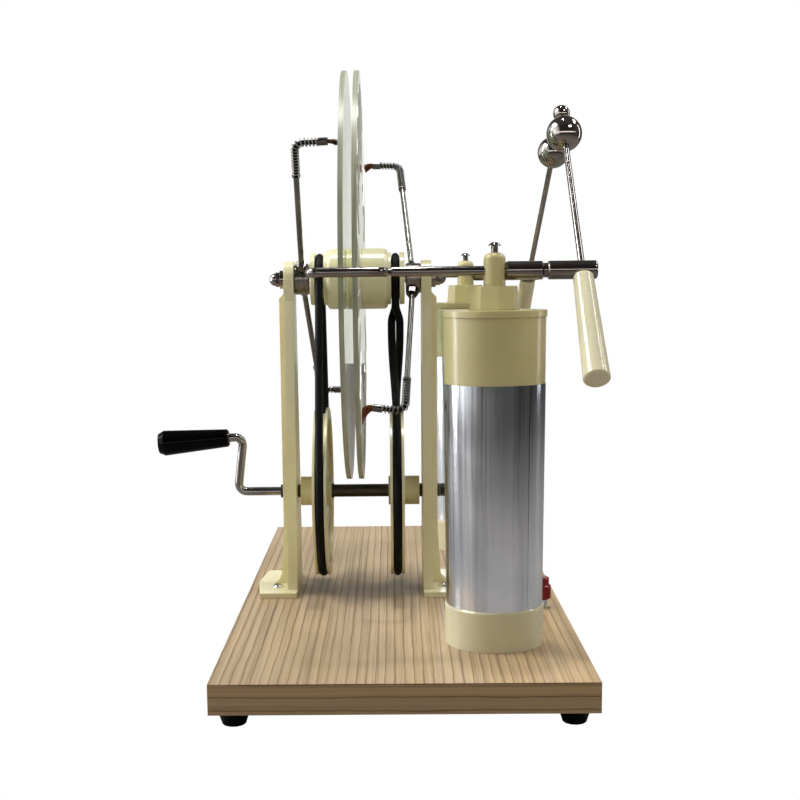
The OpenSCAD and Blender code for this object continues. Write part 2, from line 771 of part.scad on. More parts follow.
// Collector: the bar, its bent arm, the welded arm and their points
module collector(side) {
    neck_r = bar_d / 3;
    translate([0, side * bar_y, bar_z]) mirror([0, side < 0 ? 1 : 0, 0]) {
        bent_rod([[arm_right_x, -arm_reach], [arm_right_x, fork_out], [arm_left_x, fork_out],
            [arm_left_x, -arm_reach]], bar_bend, bar_d);
        turned_x([[0, arm_right_x], [neck_r, arm_right_x], [neck_r, arm_right_x + bar_d / 2],
            [bar_d / 2, arm_right_x + bar_d * 0.75], [bar_d / 2, bar_end], [0, bar_end]]);
        for (i = [0:point_n - 1]) translate([0, point_in - arm_reach + i * point_pitch, 0]) {
            bar_x(arm_left_x, arm_left_x + bar_d / 2 + point_l, point_d / 2, 16);
            bar_x(arm_right_x - bar_d / 2 - point_l, arm_right_x, point_d / 2, 16);
        }
    }
}

module near_collector() {
    color([0.3, 0.28, 0.27]) in_place() collector(-1);
}

module far_collector() {
    color([0.3, 0.28, 0.27]) in_place() collector(1);
}

module bar_sleeves() {
    edge = 0.8;
    color([0.3, 0.28, 0.27]) in_place() for (s = sides) translate([0, s * bar_y, bar_z])
        turned_x([[bar_d / 2, sleeve_x0], [swivel_d / 2 - edge, sleeve_x0],
            [swivel_d / 2, sleeve_x0 + edge], [swivel_d / 2, sleeve_x1 - edge],
            [swivel_d / 2 - edge, sleeve_x1], [bar_d / 2, sleeve_x1]]);
}

// Everything on an electrode is drawn about the rod's middle with the ball along +Z
module at_electrode(side, lean = 0) {
    translate([rod_x, side * bar_y, bar_z]) rotate([side * (90 - rod_rise), 0, 0])
        rotate([0, lean, 0]) children();
}

function lean_of(side) = side > 0 ? far_lean : 0;

module swivel(side) {
    edge = 1.5;
    difference() {
        translate([0, side * bar_y, bar_z]) turned_x(concat(
            [[0, swivel_x0], [neck_d / 2, swivel_x0], [neck_d / 2, swivel_x0 + neck_l],
                [swivel_d / 2 - 0.6, swivel_x0 + neck_l], [swivel_d / 2, swivel_x0 + neck_l + 0.6]],
            [for (a = [0:15:90]) [swivel_d / 2 - edge + edge * cos(a), swivel_x1 - edge + edge * sin(a)]],
            [[0, swivel_x1]]));
        translate([0, side * bar_y, bar_z])
            bar_x(swivel_x0 - 1, bar_end + end_play, bar_d / 2 + run_fit);
        at_electrode(side, lean_of(side)) translate([0, 0, -swivel_d])
            cylinder(h = 2 * swivel_d, d = rod_d, $fn = 32);
    }
}

module near_swivel() {
    color([0.3, 0.28, 0.27]) in_place() swivel(-1);
}

module far_swivel() {
    color([0.3, 0.28, 0.27]) in_place() swivel(1);
}

handle_z = swivel_d / 2 + 0.2;
rod_in_handle = 30;

module electrode_rod(side) {
    at_electrode(side, lean_of(side)) translate([0, 0, -handle_z - rod_in_handle])
        cylinder(h = handle_z + rod_in_handle + ball_reach - ball_d / 4, d = rod_d, $fn = 32);
}

module near_electrode_rod() {
    color([0.7, 0.7, 0.7]) in_place() electrode_rod(-1);
}

module far_electrode_rod() {
    color([0.7, 0.7, 0.7]) in_place() electrode_rod(1);
}

// Spark ball bored for its rod; the near one carries a small ball on a neck
module spark_ball(side, with_tip) {
    at_electrode(side, lean_of(side)) difference() {
        union() {
            translate([0, 0, ball_reach]) sphere(d = ball_d, $fn = 96);
            if (with_tip) {
                translate([0, 0, ball_reach]) cylinder(h = tip_reach - ball_reach, d = rod_d, $fn = 32);
                translate([0, 0, tip_reach]) sphere(d = tip_d, $fn = 64);
            }
        }
        translate([0, 0, ball_reach - ball_d]) cylinder(h = ball_d * 0.75, d = rod_d, $fn = 32);
    }
}

module near_ball() {
    color([0.3, 0.3, 0.3]) in_place() spark_ball(-1, true);
}

module far_ball() {
    color([0.3, 0.3, 0.3]) in_place() spark_ball(1, false);
}

module handle(side) {
    edge = 0.8;
    at_electrode(side, lean_of(side)) difference() {
        translate([0, 0, -handle_z]) rotate_extrude($fn = 64) polygon([
            [0, 0], [handle_neck_d / 2 - edge, 0], [handle_neck_d / 2, -edge],
            [handle_d / 2, -handle_l + edge], [handle_d / 2 - edge, -handle_l], [0, -handle_l]]);
        translate([0, 0, -handle_z - rod_in_handle]) cylinder(h = rod_in_handle + 1, d = rod_d, $fn = 32);
    }
}

module near_handle() {
    color([0.93, 0.91, 0.76]) in_place() handle(-1);
}

module far_handle() {
    color([0.93, 0.91, 0.76]) in_place() handle(1);
}

// Terminals: a metal base with a stud, and a grooved knob on it
stud_d = 4;

module terminal_bases() {
    collar = 1.5;
    color([0.75, 0.72, 0.65]) in_place() for (s = sides) translate([terminal_x, s * terminal_y, 0]) {
        rotate_extrude($fn = 48) polygon([[0, 0], [terminal_base_d / 2, 0], [terminal_base_d / 2, collar],
            [terminal_base_d / 2 - 1, collar], [terminal_base_d / 2 - 1.5, terminal_base_h],
            [0, terminal_base_h]]);
        cylinder(h = terminal_base_h + terminal_h * 0.7, d = stud_d, $fn = 32);
        translate([0, 0, -board_t - 2]) cylinder(h = board_t + 2, d = thread_d, $fn = 32);
        translate([0, 0, -board_t - 2.4]) cylinder(h = 2.4, d = 6.4, $fn = 6);
    }
}

module terminal_knob(side) {
    z0 = terminal_base_h + end_play;
    translate([terminal_x, side * terminal_y, z0]) difference() {
        rotate_extrude($fn = 64) polygon([[0, 0], [terminal_d / 2 - 1, 0], [terminal_d / 2, 1],
            [terminal_d / 2, terminal_h * 0.6], [terminal_d / 2 - 1.2, terminal_h * 0.66],
            [terminal_d / 2 - 1.2, terminal_h - 1], [terminal_d / 2 - 2.2, terminal_h],
            [0, terminal_h]]);
        translate([0, 0, -1]) cylinder(h = terminal_h * 0.75 + 1, d = stud_d + 2 * run_fit, $fn = 32);
        for (i = [0:terminal_n - 1]) rotate([0, 0, 360 * i / terminal_n])
            translate([terminal_d / 2 + 0.5, 0, -1]) cylinder(h = terminal_h * 0.55 + 1, r = 1, $fn = 24);
    }
}

module near_terminal_knob() {
    color([0.8, 0.08, 0.1]) in_place() terminal_knob(-1);
}

module far_terminal_knob() {
    color([0.8, 0.08, 0.1]) in_place() terminal_knob(1);
}

// Crank shaft: one bent rod from the right-hand nut to the inside of the grip
module crank_shaft() {
    pin = grip_gap + grip_bore_l;
    color([0.35, 0.35, 0.35]) in_place() translate([frame_x, 0, lower_z]) rotate([90, 0, 0])
        bent_rod([[shaft_end, 0], [-crank_x, 0], [-pin_x, crank_throw],
            [-pin_x - pin * cos(grip_tilt), crank_throw - pin * sin(grip_tilt)]],
            crank_bend, axle_d);
}

module shaft_nut() {
    x = shaft_end - shaft_nut_h;
    color([0.5, 0.5, 0.5]) in_place() translate([frame_x, 0, lower_z]) difference() {
        bar_x(x, shaft_end, axle_d / 2 + 1.6, 6);
        bar_x(x - 1, shaft_end + 1, axle_d / 2);
    }
}

module crank_grip() {
    low = grip_neck_d / 2;
    color([0.07, 0.07, 0.07]) in_place() translate([frame_x - pin_x, 0, lower_z + crank_throw])
        rotate([0, -grip_tilt, 0]) mirror([1, 0, 0]) difference() {
            turned_x([[0, grip_gap], [low - 1, grip_gap], [low, grip_gap + 1],
                [grip_d / 2, grip_end - 2 * grip_edge], [grip_d / 2 - grip_edge, grip_end],
                [0, grip_end]]);
            bar_x(grip_gap - 1, grip_gap + grip_bore_l + end_play, axle_d / 2 + run_fit);
        }
}

// Drive pulley on the left, turned about the crank shaft
module drive_pulley() {
    web_x = -belt_off - web_t / 2;
    rim_in = drive_pitch_r - groove_half - rim_under;
    translate([0, 0, lower_z]) difference() {
        union() {
            bar_x(-belt_off - drive_rim_half, -belt_off + drive_rim_half, drive_flange_r, 128);
            bar_x(-drive_hub_end, -belt_off + drive_rim_half + collar_in, drive_hub_r);
        }
        translate([-belt_off, 0, 0]) rotate([0, 90, 0]) rotate_extrude($fn = 128)
            translate([drive_pitch_r, 0]) circle(r = groove_half, $fn = 48);
        translate([-belt_off, 0, 0]) difference() {
            bar_x(-groove_half, groove_half, drive_flange_r + 1, 128);
            bar_x(-groove_half - 1, groove_half + 1, drive_pitch_r, 128);
        }
        translate([-belt_off, 0, 0]) difference() {
            bar_x(-drive_rim_half - 1, drive_rim_half + 1, rim_in, 128);
            bar_x(-drive_rim_half - 2, drive_rim_half + 2, drive_hub_r);
            bar_x(-web_t / 2, web_t / 2, rim_in + 1, 128);
        }
        bar_x(-face_in, 0, axle_d / 2);
    }
}

module left_drive_pulley() {
    color([0.93, 0.91, 0.76]) in_place() on_side(-1) drive_pulley();
}

module right_drive_pulley() {
    color([0.93, 0.91, 0.76]) in_place() on_side(1) drive_pulley();
}

module spacer_tube() {
    x = belt_off - drive_rim_half - collar_in;
    color([0.25, 0.22, 0.2]) in_place() translate([frame_x, 0, lower_z]) difference() {
        union() {
            bar_x(-x, x, spacer_d / 2);
            bar_x(-x, -x + 1.5, spacer_d / 2 + 0.8);
        }
        bar_x(-x - 1, x + 1, axle_d / 2);
    }
}

// Hub with its belt groove, from the disc outwards; shift moves the disc along the axle
module hub(shift) {
    face = disc_outer - shift;
    r = hub_r;
    translate([0, 0, upper_z]) difference() {
        turned_x([[bush_r, -hub_end], [hub_flange_r - 0.6, -hub_end], [hub_flange_r, -hub_end + 0.6],
            [hub_flange_r, -body_end - lip_w / 2], [r - shoulder, -body_end],
            [r - shoulder / 3, -body_end + shoulder / 4], [r, -body_end + shoulder * 0.8],
            [r, -face], [bush_r, -face]]);
        translate([-belt_off, 0, 0]) rotate([0, 90, 0]) rotate_extrude($fn = 96)
            translate([hub_pitch_r, 0]) circle(r = groove_half, $fn = 48);
        translate([-belt_off, 0, 0]) difference() {
            bar_x(-groove_half, groove_half, hub_flange_r + 1);
            bar_x(-groove_half - 1, groove_half + 1, hub_pitch_r);
        }
    }
}

// The shift of the pair of discs, seen from each side
function shift_of(side) = side * disc_shift;

module left_hub() {
    color([0.93, 0.91, 0.76]) in_place() on_side(-1) hub(disc_shift);
}

module right_hub() {
    color([0.93, 0.91, 0.76]) in_place() on_side(1) hub(-disc_shift);
}

module disc(shift) {
    translate([shift, 0, upper_z]) difference() {
        bar_x(-disc_outer, -disc_gap / 2, disc_d / 2, 180);
        bar_x(-disc_outer - 1, 0, bush_r);
    }
}

module left_disc() {
    color([0.8, 0.88, 0.82, 0.4]) in_place() on_side(-1) disc(disc_shift);
}

module right_disc() {
    color([0.8, 0.88, 0.82, 0.4]) in_place() on_side(1) disc(-disc_shift);
}

// Foil sectors on a disc's outer face
module sectors(shift) {
    r1 = disc_d / 2 - sector_in;
    r0 = r1 - sector_l;
    inner_w = sector_w * r0 / r1;
    translate([shift - disc_outer - sector_t, 0, upper_z]) for (i = [0:sector_n - 1])
        rotate([360 * (i + 0.5) / sector_n, 0, 0]) rotate([0, 90, 0]) linear_extrude(sector_t)
            polygon([[r0, -inner_w / 2], [r1, -sector_w / 2], [r1, sector_w / 2], [r0, inner_w / 2]]);
}

module left_sectors() {
    color([0.75, 0.76, 0.76]) in_place() on_side(-1) sectors(disc_shift);
}

module right_sectors() {
    color([0.75, 0.76, 0.76]) in_place() on_side(1) sectors(-disc_shift);
}

module clamp_ring(shift) {
    translate([shift, 0, upper_z]) difference() {
        bar_x(-disc_gap / 2, -ring_gap / 2, hub_r);
        bar_x(-disc_gap, 0, bush_r);
    }
}

module left_clamp_ring() {
    color([0.93, 0.91, 0.76]) in_place() on_side(-1) clamp_ring(disc_shift);
}

module right_clamp_ring() {
    color([0.93, 0.91, 0.76]) in_place() on_side(1) clamp_ring(-disc_shift);
}

module bearing(shift) {
    translate([0, 0, upper_z]) difference() {
        bar_x(-hub_end, shift - ring_gap / 2, bush_r);
        bar_x(-hub_end - 1, shift + 1, axle_d / 2 + run_fit);
    }
}

module left_bearing() {
    color([0.75, 0.6, 0.3]) in_place() on_side(-1) bearing(disc_shift);
}

module right_bearing() {
    color([0.75, 0.6, 0.3]) in_place() on_side(1) bearing(-disc_shift);
}

// Brush rods. Each side has an upper arm and a lower arm; an arm is drawn along +Z with
// the disc towards +X, about the middle of the boss. Each list holds [upper, lower].
boss_mid = boss_in + boss_l / 2;
left_arms = [[left_near_lean, left_near_turn, true], [left_far_lean, left_far_turn, false]];
right_arms = [[right_far_lean, right_far_turn, false], [right_near_lean, right_near_turn, true]];
fitting_l = 5;
fitting_d = 8.4;
collar_l = 1.2;
slice_t = 1;
slice_r = 2;
brush_root_r = 1.75;
brush_tip_r = 2.7;
ring_n = 8;

function arms_of(side) = side < 0 ? left_arms : right_arms;

// Turns a side's brush rod about the disc axle to its angle
module rod_turn(side) {
    translate([0, 0, upper_z]) rotate([-side * arm_angle, 0, 0]) translate([0, 0, -upper_z]) children();
}

// Draws the children once for each of a side's arms, with its values in $arm
module each_arm(side) {
    for (k = [0, 1]) translate([-boss_mid, 0, upper_z]) rotate([180 * k, 0, 0])
        let ($arm = arms_of(side)[k]) rotate([0, $arm[0], 0]) children();
}

module rod_boss(side) {
    edge = 0.6;
    difference() {
        translate([0, 0, upper_z]) turned_x([[axle_d / 2 + run_fit, -boss_in - boss_l], [boss_d / 2 - edge, -boss_in - boss_l],
            [boss_d / 2, -boss_in - boss_l + edge], [boss_d / 2, -boss_in - edge],
            [boss_d / 2 - edge, -boss_in], [axle_d / 2 + run_fit, -boss_in]]);
        each_arm(side) translate([0, 0, axle_d / 2 + 2]) cylinder(h = boss_d, d = arm_bore_d, $fn = 32);
    }
}

arm_bore_d = arm_d + 1.6;

module left_rod_boss() {
    color([0.3, 0.28, 0.27]) in_place() rod_turn(-1) on_side(-1) rod_boss(-1);
}

module right_rod_boss() {
    color([0.3, 0.28, 0.27]) in_place() rod_turn(1) on_side(1) rod_boss(1);
}

// Distance from the boss to the brush's tip along X
function disc_reach(side) = boss_mid - disc_outer - side * disc_shift - sector_t - brush_fit;

// End and direction of a spring after its bend, in the plane of the arm: [x, z]
function bend_end(turn) =
    [spring_bend * (1 - cos(turn)), spring_r0 + spring_l + spring_bend * sin(turn)];
function away(turn) = [sin(turn), cos(turn)];

// Half width of the brush's tip along X, because it meets the disc at a slant
function brush_edge(arm) = (brush_tip_r + strand_r) * abs(cos(arm[1] + arm[0]));

// Straight length of the spring after its bend, so that the brush reaches the disc
function tail_l(side, arm) =
    let (lean = arm[0], e = bend_end(arm[1]), d = away(arm[1]))
    (disc_reach(side) - brush_edge(arm) - (e[0] * cos(lean) + e[1] * sin(lean)))
        / (d[0] * cos(lean) + d[1] * sin(lean)) - ferrule_l - brush_l;

// Places the children on an arm's last straight, a distance past the end of the bend
module on_tail(arm, distance) {
    e = bend_end(arm[1]) + away(arm[1]) * distance;
    translate([e[0], 0, e[1]]) rotate([0, arm[1], 0]) children();
}

// An arm with its fitting and spring collar, and the ferrule at the spring's far end
module rod_arms(side) {
    root = boss_d / 2 + 0.3;
    each_arm(side) {
        if ($arm[2]) translate([0, 0, root]) cylinder(h = fitting_l, d = fitting_d, $fn = 6);
        else translate([0, 0, root]) rotate_extrude($fn = 48)
            polygon([[0, 0], [fitting_d / 2, 0], [arm_d / 2, fitting_l], [0, fitting_l]]);
        translate([0, 0, axle_d / 2 + 2]) cylinder(h = root - axle_d / 2 - 1, d = arm_bore_d - 0.5, $fn = 32);
        translate([0, 0, root]) cylinder(h = spring_r0 - root, d = arm_d, $fn = 32);
        translate([0, 0, spring_r0 - collar_l]) cylinder(h = collar_l, r = curl_r + wire_d / 2, $fn = 32);
        on_tail($arm, tail_l(side, $arm)) difference() {
            cylinder(h = ferrule_l, d = ferrule_d, $fn = 32);
            translate([0, 0, ferrule_l - slice_t]) cylinder(h = slice_t + 1, r = slice_r, $fn = 32);
        }
    }
}

module left_rod_arms() {
    color([0.35, 0.33, 0.32]) in_place() rod_turn(-1) on_side(-1) rod_arms(-1);
}

module right_rod_arms() {
    color([0.35, 0.33, 0.32]) in_place() rod_turn(1) on_side(1) rod_arms(1);
}

// Spring centre line at distance s: [x, z, direction from upright]
function spring_mid(s, turn) =
    let (bend_l = spring_bend * turn * PI / 180)
    s < spring_l ? [0, spring_r0 + s, 0]
    : s < spring_l + bend_l ?
        let (a = (s - spring_l) / spring_bend * 180 / PI)
        [spring_bend * (1 - cos(a)), spring_r0 + spring_l + spring_bend * sin(a), a]
    : let (e = bend_end(turn), d = away(turn), t = s - spring_l - bend_l)
        [e[0] + d[0] * t, e[1] + d[1] * t, turn];

// Unit vector from the centre line to the wire
function curl_out(m, phase) = [cos(phase) * cos(m[2]), sin(phase), -cos(phase) * sin(m[2])];

// Stations along a spring: [distance, phase], with a straight end of one wire diameter
function spring_total(side, arm) = spring_l + spring_bend * arm[1] * PI / 180 + tail_l(side, arm);
function stations(total) =
    let (n = curl_n * ring_n)
    concat([[0, 0]],
        [for (i = [0:n]) [wire_d + (total - 2 * wire_d) * i / n, 360 * i / ring_n]],
        [[total, 360 * n / ring_n]]);
function wire_at(m, phase) = [m[0], 0, m[1]] + curl_r * curl_out(m, phase);
function spring_path(side, arm) =
    [for (s = stations(spring_total(side, arm))) wire_at(spring_mid(s[0], arm[1]), s[1])];
function spring_ups(side, arm) =
    [for (s = stations(spring_total(side, arm))) curl_out(spring_mid(s[0], arm[1]), s[1])];

// Least gap of a spring's wire to itself, on the wire's points
function least_gap(p) = min([for (i = [0:len(p) - 6]) for (j = [i + 5:min(len(p) - 1, i + 12)])
    norm(p[i] - p[j])]) - wire_d;

module springs(side) {
    echo(spring_gaps = [for (a = arms_of(side)) least_gap(spring_path(side, a))],
        tails = [for (a = arms_of(side)) tail_l(side, a)]);
    each_arm(side) tube(spring_path(side, $arm), spring_ups(side, $arm), wire_d / 2, 6);
}

module left_springs() {
    color([0.35, 0.33, 0.32]) in_place() rod_turn(-1) on_side(-1) springs(-1);
}

module right_springs() {
    color([0.35, 0.33, 0.32]) in_place() rod_turn(1) on_side(1) springs(1);
}

// A brush along +Z: a slice of its backing and strands that fan out without crossing
golden = 137.508;

module brush() {
    cylinder(h = slice_t, r = slice_r, $fn = 32);
    for (i = [0:strand_n - 1]) {
        a = golden * i;
        k = sqrt((i + 0.5) / strand_n);
        foot = [brush_root_r * k * cos(a), brush_root_r * k * sin(a), slice_t / 2];
        tip = [brush_tip_r * k * cos(a), brush_tip_r * k * sin(a), slice_t + brush_l];
        tube([foot, tip], [[1, 0, 0], [1, 0, 0]], strand_r, 3);
    }
}

module brushes(side) {
    each_arm(side) on_tail($arm, tail_l(side, $arm) + ferrule_l - slice_t) brush();
}

module left_brushes() {
    color([0.6, 0.3, 0.15]) in_place() rod_turn(-1) on_side(-1) brushes(-1);
}

module right_brushes() {
    color([0.6, 0.3, 0.15]) in_place() rod_turn(1) on_side(1) brushes(1);
}

board();
feet();
foot_screws();
left_upright();
right_upright();
upright_screws();
upper_axle();
axle_washers();
axle_nuts();
shaft_bushes();
open_belt();
crossed_belt();
jar_bases();
near_jar_cup();
far_jar_cup();
jar_foils();
inner_foils();
jar_lids();
post_nuts();
posts();
clamp_screws();
jar_rods();
near_collector();
far_collector();
bar_sleeves();
terminal_bases();
near_terminal_knob();
far_terminal_knob();
crank_shaft();
left_drive_pulley();
right_drive_pulley();
spacer_tube();
shaft_nut();
crank_grip();
left_hub();
right_hub();
left_disc();
right_disc();
left_sectors();
right_sectors();
left_clamp_ring();
right_clamp_ring();
left_bearing();
right_bearing();
left_rod_boss();
right_rod_boss();
left_rod_arms();
right_rod_arms();
left_springs();
right_springs();
left_brushes();
right_brushes();
near_swivel();
far_swivel();
near_electrode_rod();
far_electrode_rod();
near_ball();
far_ball();
near_handle();
far_handle();
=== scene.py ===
import math
import random

import bpy
from mathutils import Matrix, Vector


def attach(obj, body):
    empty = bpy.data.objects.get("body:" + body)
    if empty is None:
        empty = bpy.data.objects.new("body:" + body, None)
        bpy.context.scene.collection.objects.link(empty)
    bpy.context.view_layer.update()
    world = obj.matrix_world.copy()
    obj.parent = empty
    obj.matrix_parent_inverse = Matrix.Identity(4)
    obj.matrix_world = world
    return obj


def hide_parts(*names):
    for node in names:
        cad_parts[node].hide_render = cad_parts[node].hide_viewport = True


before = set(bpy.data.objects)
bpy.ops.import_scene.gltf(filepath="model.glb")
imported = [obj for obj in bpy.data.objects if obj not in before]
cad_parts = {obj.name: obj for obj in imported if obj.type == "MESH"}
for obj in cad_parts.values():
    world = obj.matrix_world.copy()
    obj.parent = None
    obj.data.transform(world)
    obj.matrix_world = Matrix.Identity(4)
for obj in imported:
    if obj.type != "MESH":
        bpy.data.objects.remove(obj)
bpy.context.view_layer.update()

MM = 0.001
rng = random.Random(11)

# Sizes of the part that the detail pieces follow, in millimetres and degrees.
# The part's own origin lies at (-X_MID, 0, GROUND) of the row frame.
X_MID = -22.274
GROUND = 26.5
FRAME_X = -28.0

# Discs and belts
UPPER_Z = 220.0
LOWER_Z = 70.0
DISC_R = 140.0
RIM_SKIN = 0.15
DISC_OUTER = 5.8
DISC_SHIFT = -2.6
SECTOR_T = 0.3
BELT_OFF = 26.35
BELT_D = 5.5
BELT_GAP = 0.3
HUB_PITCH = 15.0
DRIVE_PITCH = 58.0

# Brush rods: boss, springs with their core wires, ferrules and brushes
BOSS_MID = 38.8
ARM_ANGLE = 45.0
SPRING_R0 = 94.0
SPRING_L = 20.0
SPRING_BEND = 6.0
CURL_R = 2.35
WIRE_D = 0.85
CORE_R = 1.5
ARM_CURLS = 8.5
BEND_CURLS = 3.5
TAIL_PITCH = 2.3
FERRULE_L = 6.2
BRUSH_L = 6.5
BRUSH_TIP_R = 2.7
BRUSH_FIT = 0.3
STRAND_R = 0.12
FINE_STRAND_R = 0.085
STRAND_ROOT = 0.6

# Clamp screws and jars
JAR_X = 56.0
BAR_Y = 143.9
POST_TOP = 233.9
THREAD_R = 2.0
THREAD_PITCH = 0.7
THREAD_WIRE_R = 0.2
THREAD_FROM, THREAD_TO = -0.3, 3.8
CUP_FLOOR, CUP_TOP = 4.0, 200.5
CUP_R_LOW, CUP_R_HIGH = 28.5, 30.5
FOIL_LOW, FOIL_HIGH = 24.5, 157.5
FOIL_T = 0.3
SEAM_INSET = 0.2
SEAM_LAYERS = (0.02, 0.16)
SEAM_FROM, SEAM_TO = -52.0, -20.0

# side, index, lean, turn
ARMS = [
    ("left", 0, 1.0, 86.0),
    ("left", 1, 3.3, 86.0),
    ("right", 0, 3.9, 84.0),
    ("right", 1, 3.5, 96.0),
]

# strands, radius at the ferrule, spread, share of the free length, droop
BRUSH_FORM = {
    ("left", 0): (110, 1.1, 0.12, 1.0, 0.35),
    ("left", 1): (110, 1.1, 0.12, 1.0, 0.2),
    ("right", 0): (240, 1.5, 0.24, 1.05, 0.6),
    ("right", 1): (170, 1.6, 0.36, 1.85, 1.7),
}

WHITE = (1.0, 1.0, 1.0)
SHEET_IOR = 1.49
PLASTIC_IOR = 1.5

# The room that shows in reflections
ROOM = (0.115, 0.106, 0.10)
FRONT = (0.05, 0.046, 0.042)
BACKDROP = (0.72, 0.73, 0.68)
LEFT_WALL = (1.75, 1.82, 1.88)
FRONT_BAND = (3.4, 3.2, 3.05)
FILL = (0.62, 0.58, 0.53)
FILL_STRENGTH = 0.42

# name, place, aimed at, width, height, watts
LIGHTS = (
    ("overhead_key", (0.02, 0.10, 1.6), (0.0, 0.0, 0.1), 0.10, 0.10, 7.5),
    ("high_left", (-0.55, 0.0, 0.95), (0.0, 0.0, 0.1), 0.5, 0.28, 5.0),
    ("high_right", (0.85, 0.30, 1.2), (0.0, 0.0, 0.2), 0.65, 0.2, 3.2),
    ("left_wide", (-1.3, -0.1, 0.45), (0.0, 0.0, 0.2), 1.2, 1.0, 3.6),
    ("left_strip", (-1.15, 0.12, 0.5), (0.0, 0.0, 0.2), 0.09, 1.1, 6.0),
    ("right_strip", (1.15, 0.30, 0.5), (0.0, 0.0, 0.2), 0.08, 0.9, 1.8),
    ("front_high", (0.75, -0.85, 1.2), (0.0, 0.0, 0.2), 0.40, 0.26, 2.8),
)
FLOOR_SIZE = 6.0
FLOOR_TONE = (0.34, 0.32, 0.30)

# Camera fitted to the photograph: place in the part's millimetres, angles in degrees
CAMERA_AT = (-6.35, -907.86, 217.39)
CAMERA_PITCH, CAMERA_YAW, CAMERA_ROLL = 7.65, -0.91, -0.66
CAMERA_SENSOR = 36
CAMERA_LENS = 57.80
CAMERA_SHIFT = (0.0375, 0.06875)
CAMERA_NEAR = 0.01


# Material nodes
def new_material(name):
    m = bpy.data.materials.new(name)
    m.use_nodes = True
    nt = m.node_tree
    for n in list(nt.nodes):
        nt.nodes.remove(n)
    out = nt.nodes.new("ShaderNodeOutputMaterial")
    p = nt.nodes.new("ShaderNodeBsdfPrincipled")
    nt.links.new(p.outputs[0], out.inputs[0])
    return m, nt, p


def surface(nt, shader):
    """Make a shader the material's surface in place of the first one."""
    out = next(n for n in nt.nodes if n.type == "OUTPUT_MATERIAL")
    nt.links.new(shader, out.inputs[0])


def coords(nt, scale=(1, 1, 1)):
    c = nt.nodes.new("ShaderNodeTexCoord")
    mp = nt.nodes.new("ShaderNodeMapping")
    mp.inputs["Scale"].default_value = scale
    nt.links.new(c.outputs["Object"], mp.inputs["Vector"])
    return mp.outputs[0]


def axes(nt, kind="Object"):
    """Outputs X, Y and Z of a texture coordinate."""
    c = nt.nodes.new("ShaderNodeTexCoord")
    split = nt.nodes.new("ShaderNodeSeparateXYZ")
    nt.links.new(c.outputs[kind], split.inputs[0])
    return split.outputs


def noise(nt, vector, scale, detail=4.0, rough=0.5):
    n = nt.nodes.new("ShaderNodeTexNoise")
    n.inputs["Scale"].default_value = scale
    n.inputs["Detail"].default_value = detail
    n.inputs["Roughness"].default_value = rough
    nt.links.new(vector, n.inputs["Vector"])
    return n.outputs[0]


def ramp(nt, fac, stops):
    """Colour ramp; a stop's tone is a colour or one number for a grey."""
    r = nt.nodes.new("ShaderNodeValToRGB")
    e = r.color_ramp.elements
    while len(e) > 1:
        e.remove(e[-1])
    for i, (pos, tone) in enumerate(stops):
        stop = e.new(pos) if i else e[0]
        stop.position = pos
        stop.color = (*tone, 1) if isinstance(tone, tuple) else (tone, tone, tone, 1)
    nt.links.new(fac, r.inputs[0])
    return r.outputs[0]


def math_node(nt, op, a, b=None, clamp=False):
    n = nt.nodes.new("ShaderNodeMath")
    n.operation = op
    n.use_clamp = clamp
    for i, v in enumerate((a, b)):
        if v is None:
            continue
        if isinstance(v, (int, float)):
            n.inputs[i].default_value = v
        else:
            nt.links.new(v, n.inputs[i])
    return n.outputs[0]


def add(nt, a, b):
    return math_node(nt, "ADD", a, b)


def times(nt, a, b):
    return math_node(nt, "MULTIPLY", a, b)


def map_range(nt, v, a, b, c=0.0, d=1.0):
    n = nt.nodes.new("ShaderNodeMapRange")
    nt.links.new(v, n.inputs["Value"])
    for k, x in (("From Min", a), ("From Max", b), ("To Min", c), ("To Max", d)):
        n.inputs[k].default_value = x
    return n.outputs[0]


def mix_color(nt, fac, a, b, mode="MIX"):
    n = nt.nodes.new("ShaderNodeMix")
    n.data_type = "RGBA"
    n.blend_type = mode
    if isinstance(fac, (int, float)):
        n.inputs[0].default_value = fac
    else:
        nt.links.new(fac, n.inputs[0])
    for sock, v in ((n.inputs[6], a), (n.inputs[7], b)):
        if isinstance(v, tuple):
            sock.default_value = (*v, 1)
        else:
            nt.links.new(v, sock)
    return n.outputs[2]


def tinted(nt, a, b):
    """One colour multiplied by another."""
    return mix_color(nt, 1.0, a, b, "MULTIPLY")


def mix_shader(nt, fac, a, b):
    n = nt.nodes.new("ShaderNodeMixShader")
    nt.links.new(fac, n.inputs[0])
    nt.links.new(a, n.inputs[1])
    nt.links.new(b, n.inputs[2])
    return n.outputs[0]


def bumped(nt, p, height, strength, distance, edge=0.0):
    """Relief in metres; edge is the radius that softens the solid's corners."""
    b = nt.nodes.new("ShaderNodeBump")
    b.inputs["Strength"].default_value = strength
    b.inputs["Distance"].default_value = distance
    nt.links.new(height, b.inputs["Height"])
    if edge:
        v = nt.nodes.new("ShaderNodeBevel")
        v.samples = 4
        v.inputs["Radius"].default_value = edge
        nt.links.new(v.outputs[0], b.inputs["Normal"])
    nt.links.new(b.outputs[0], p.inputs["Normal"])


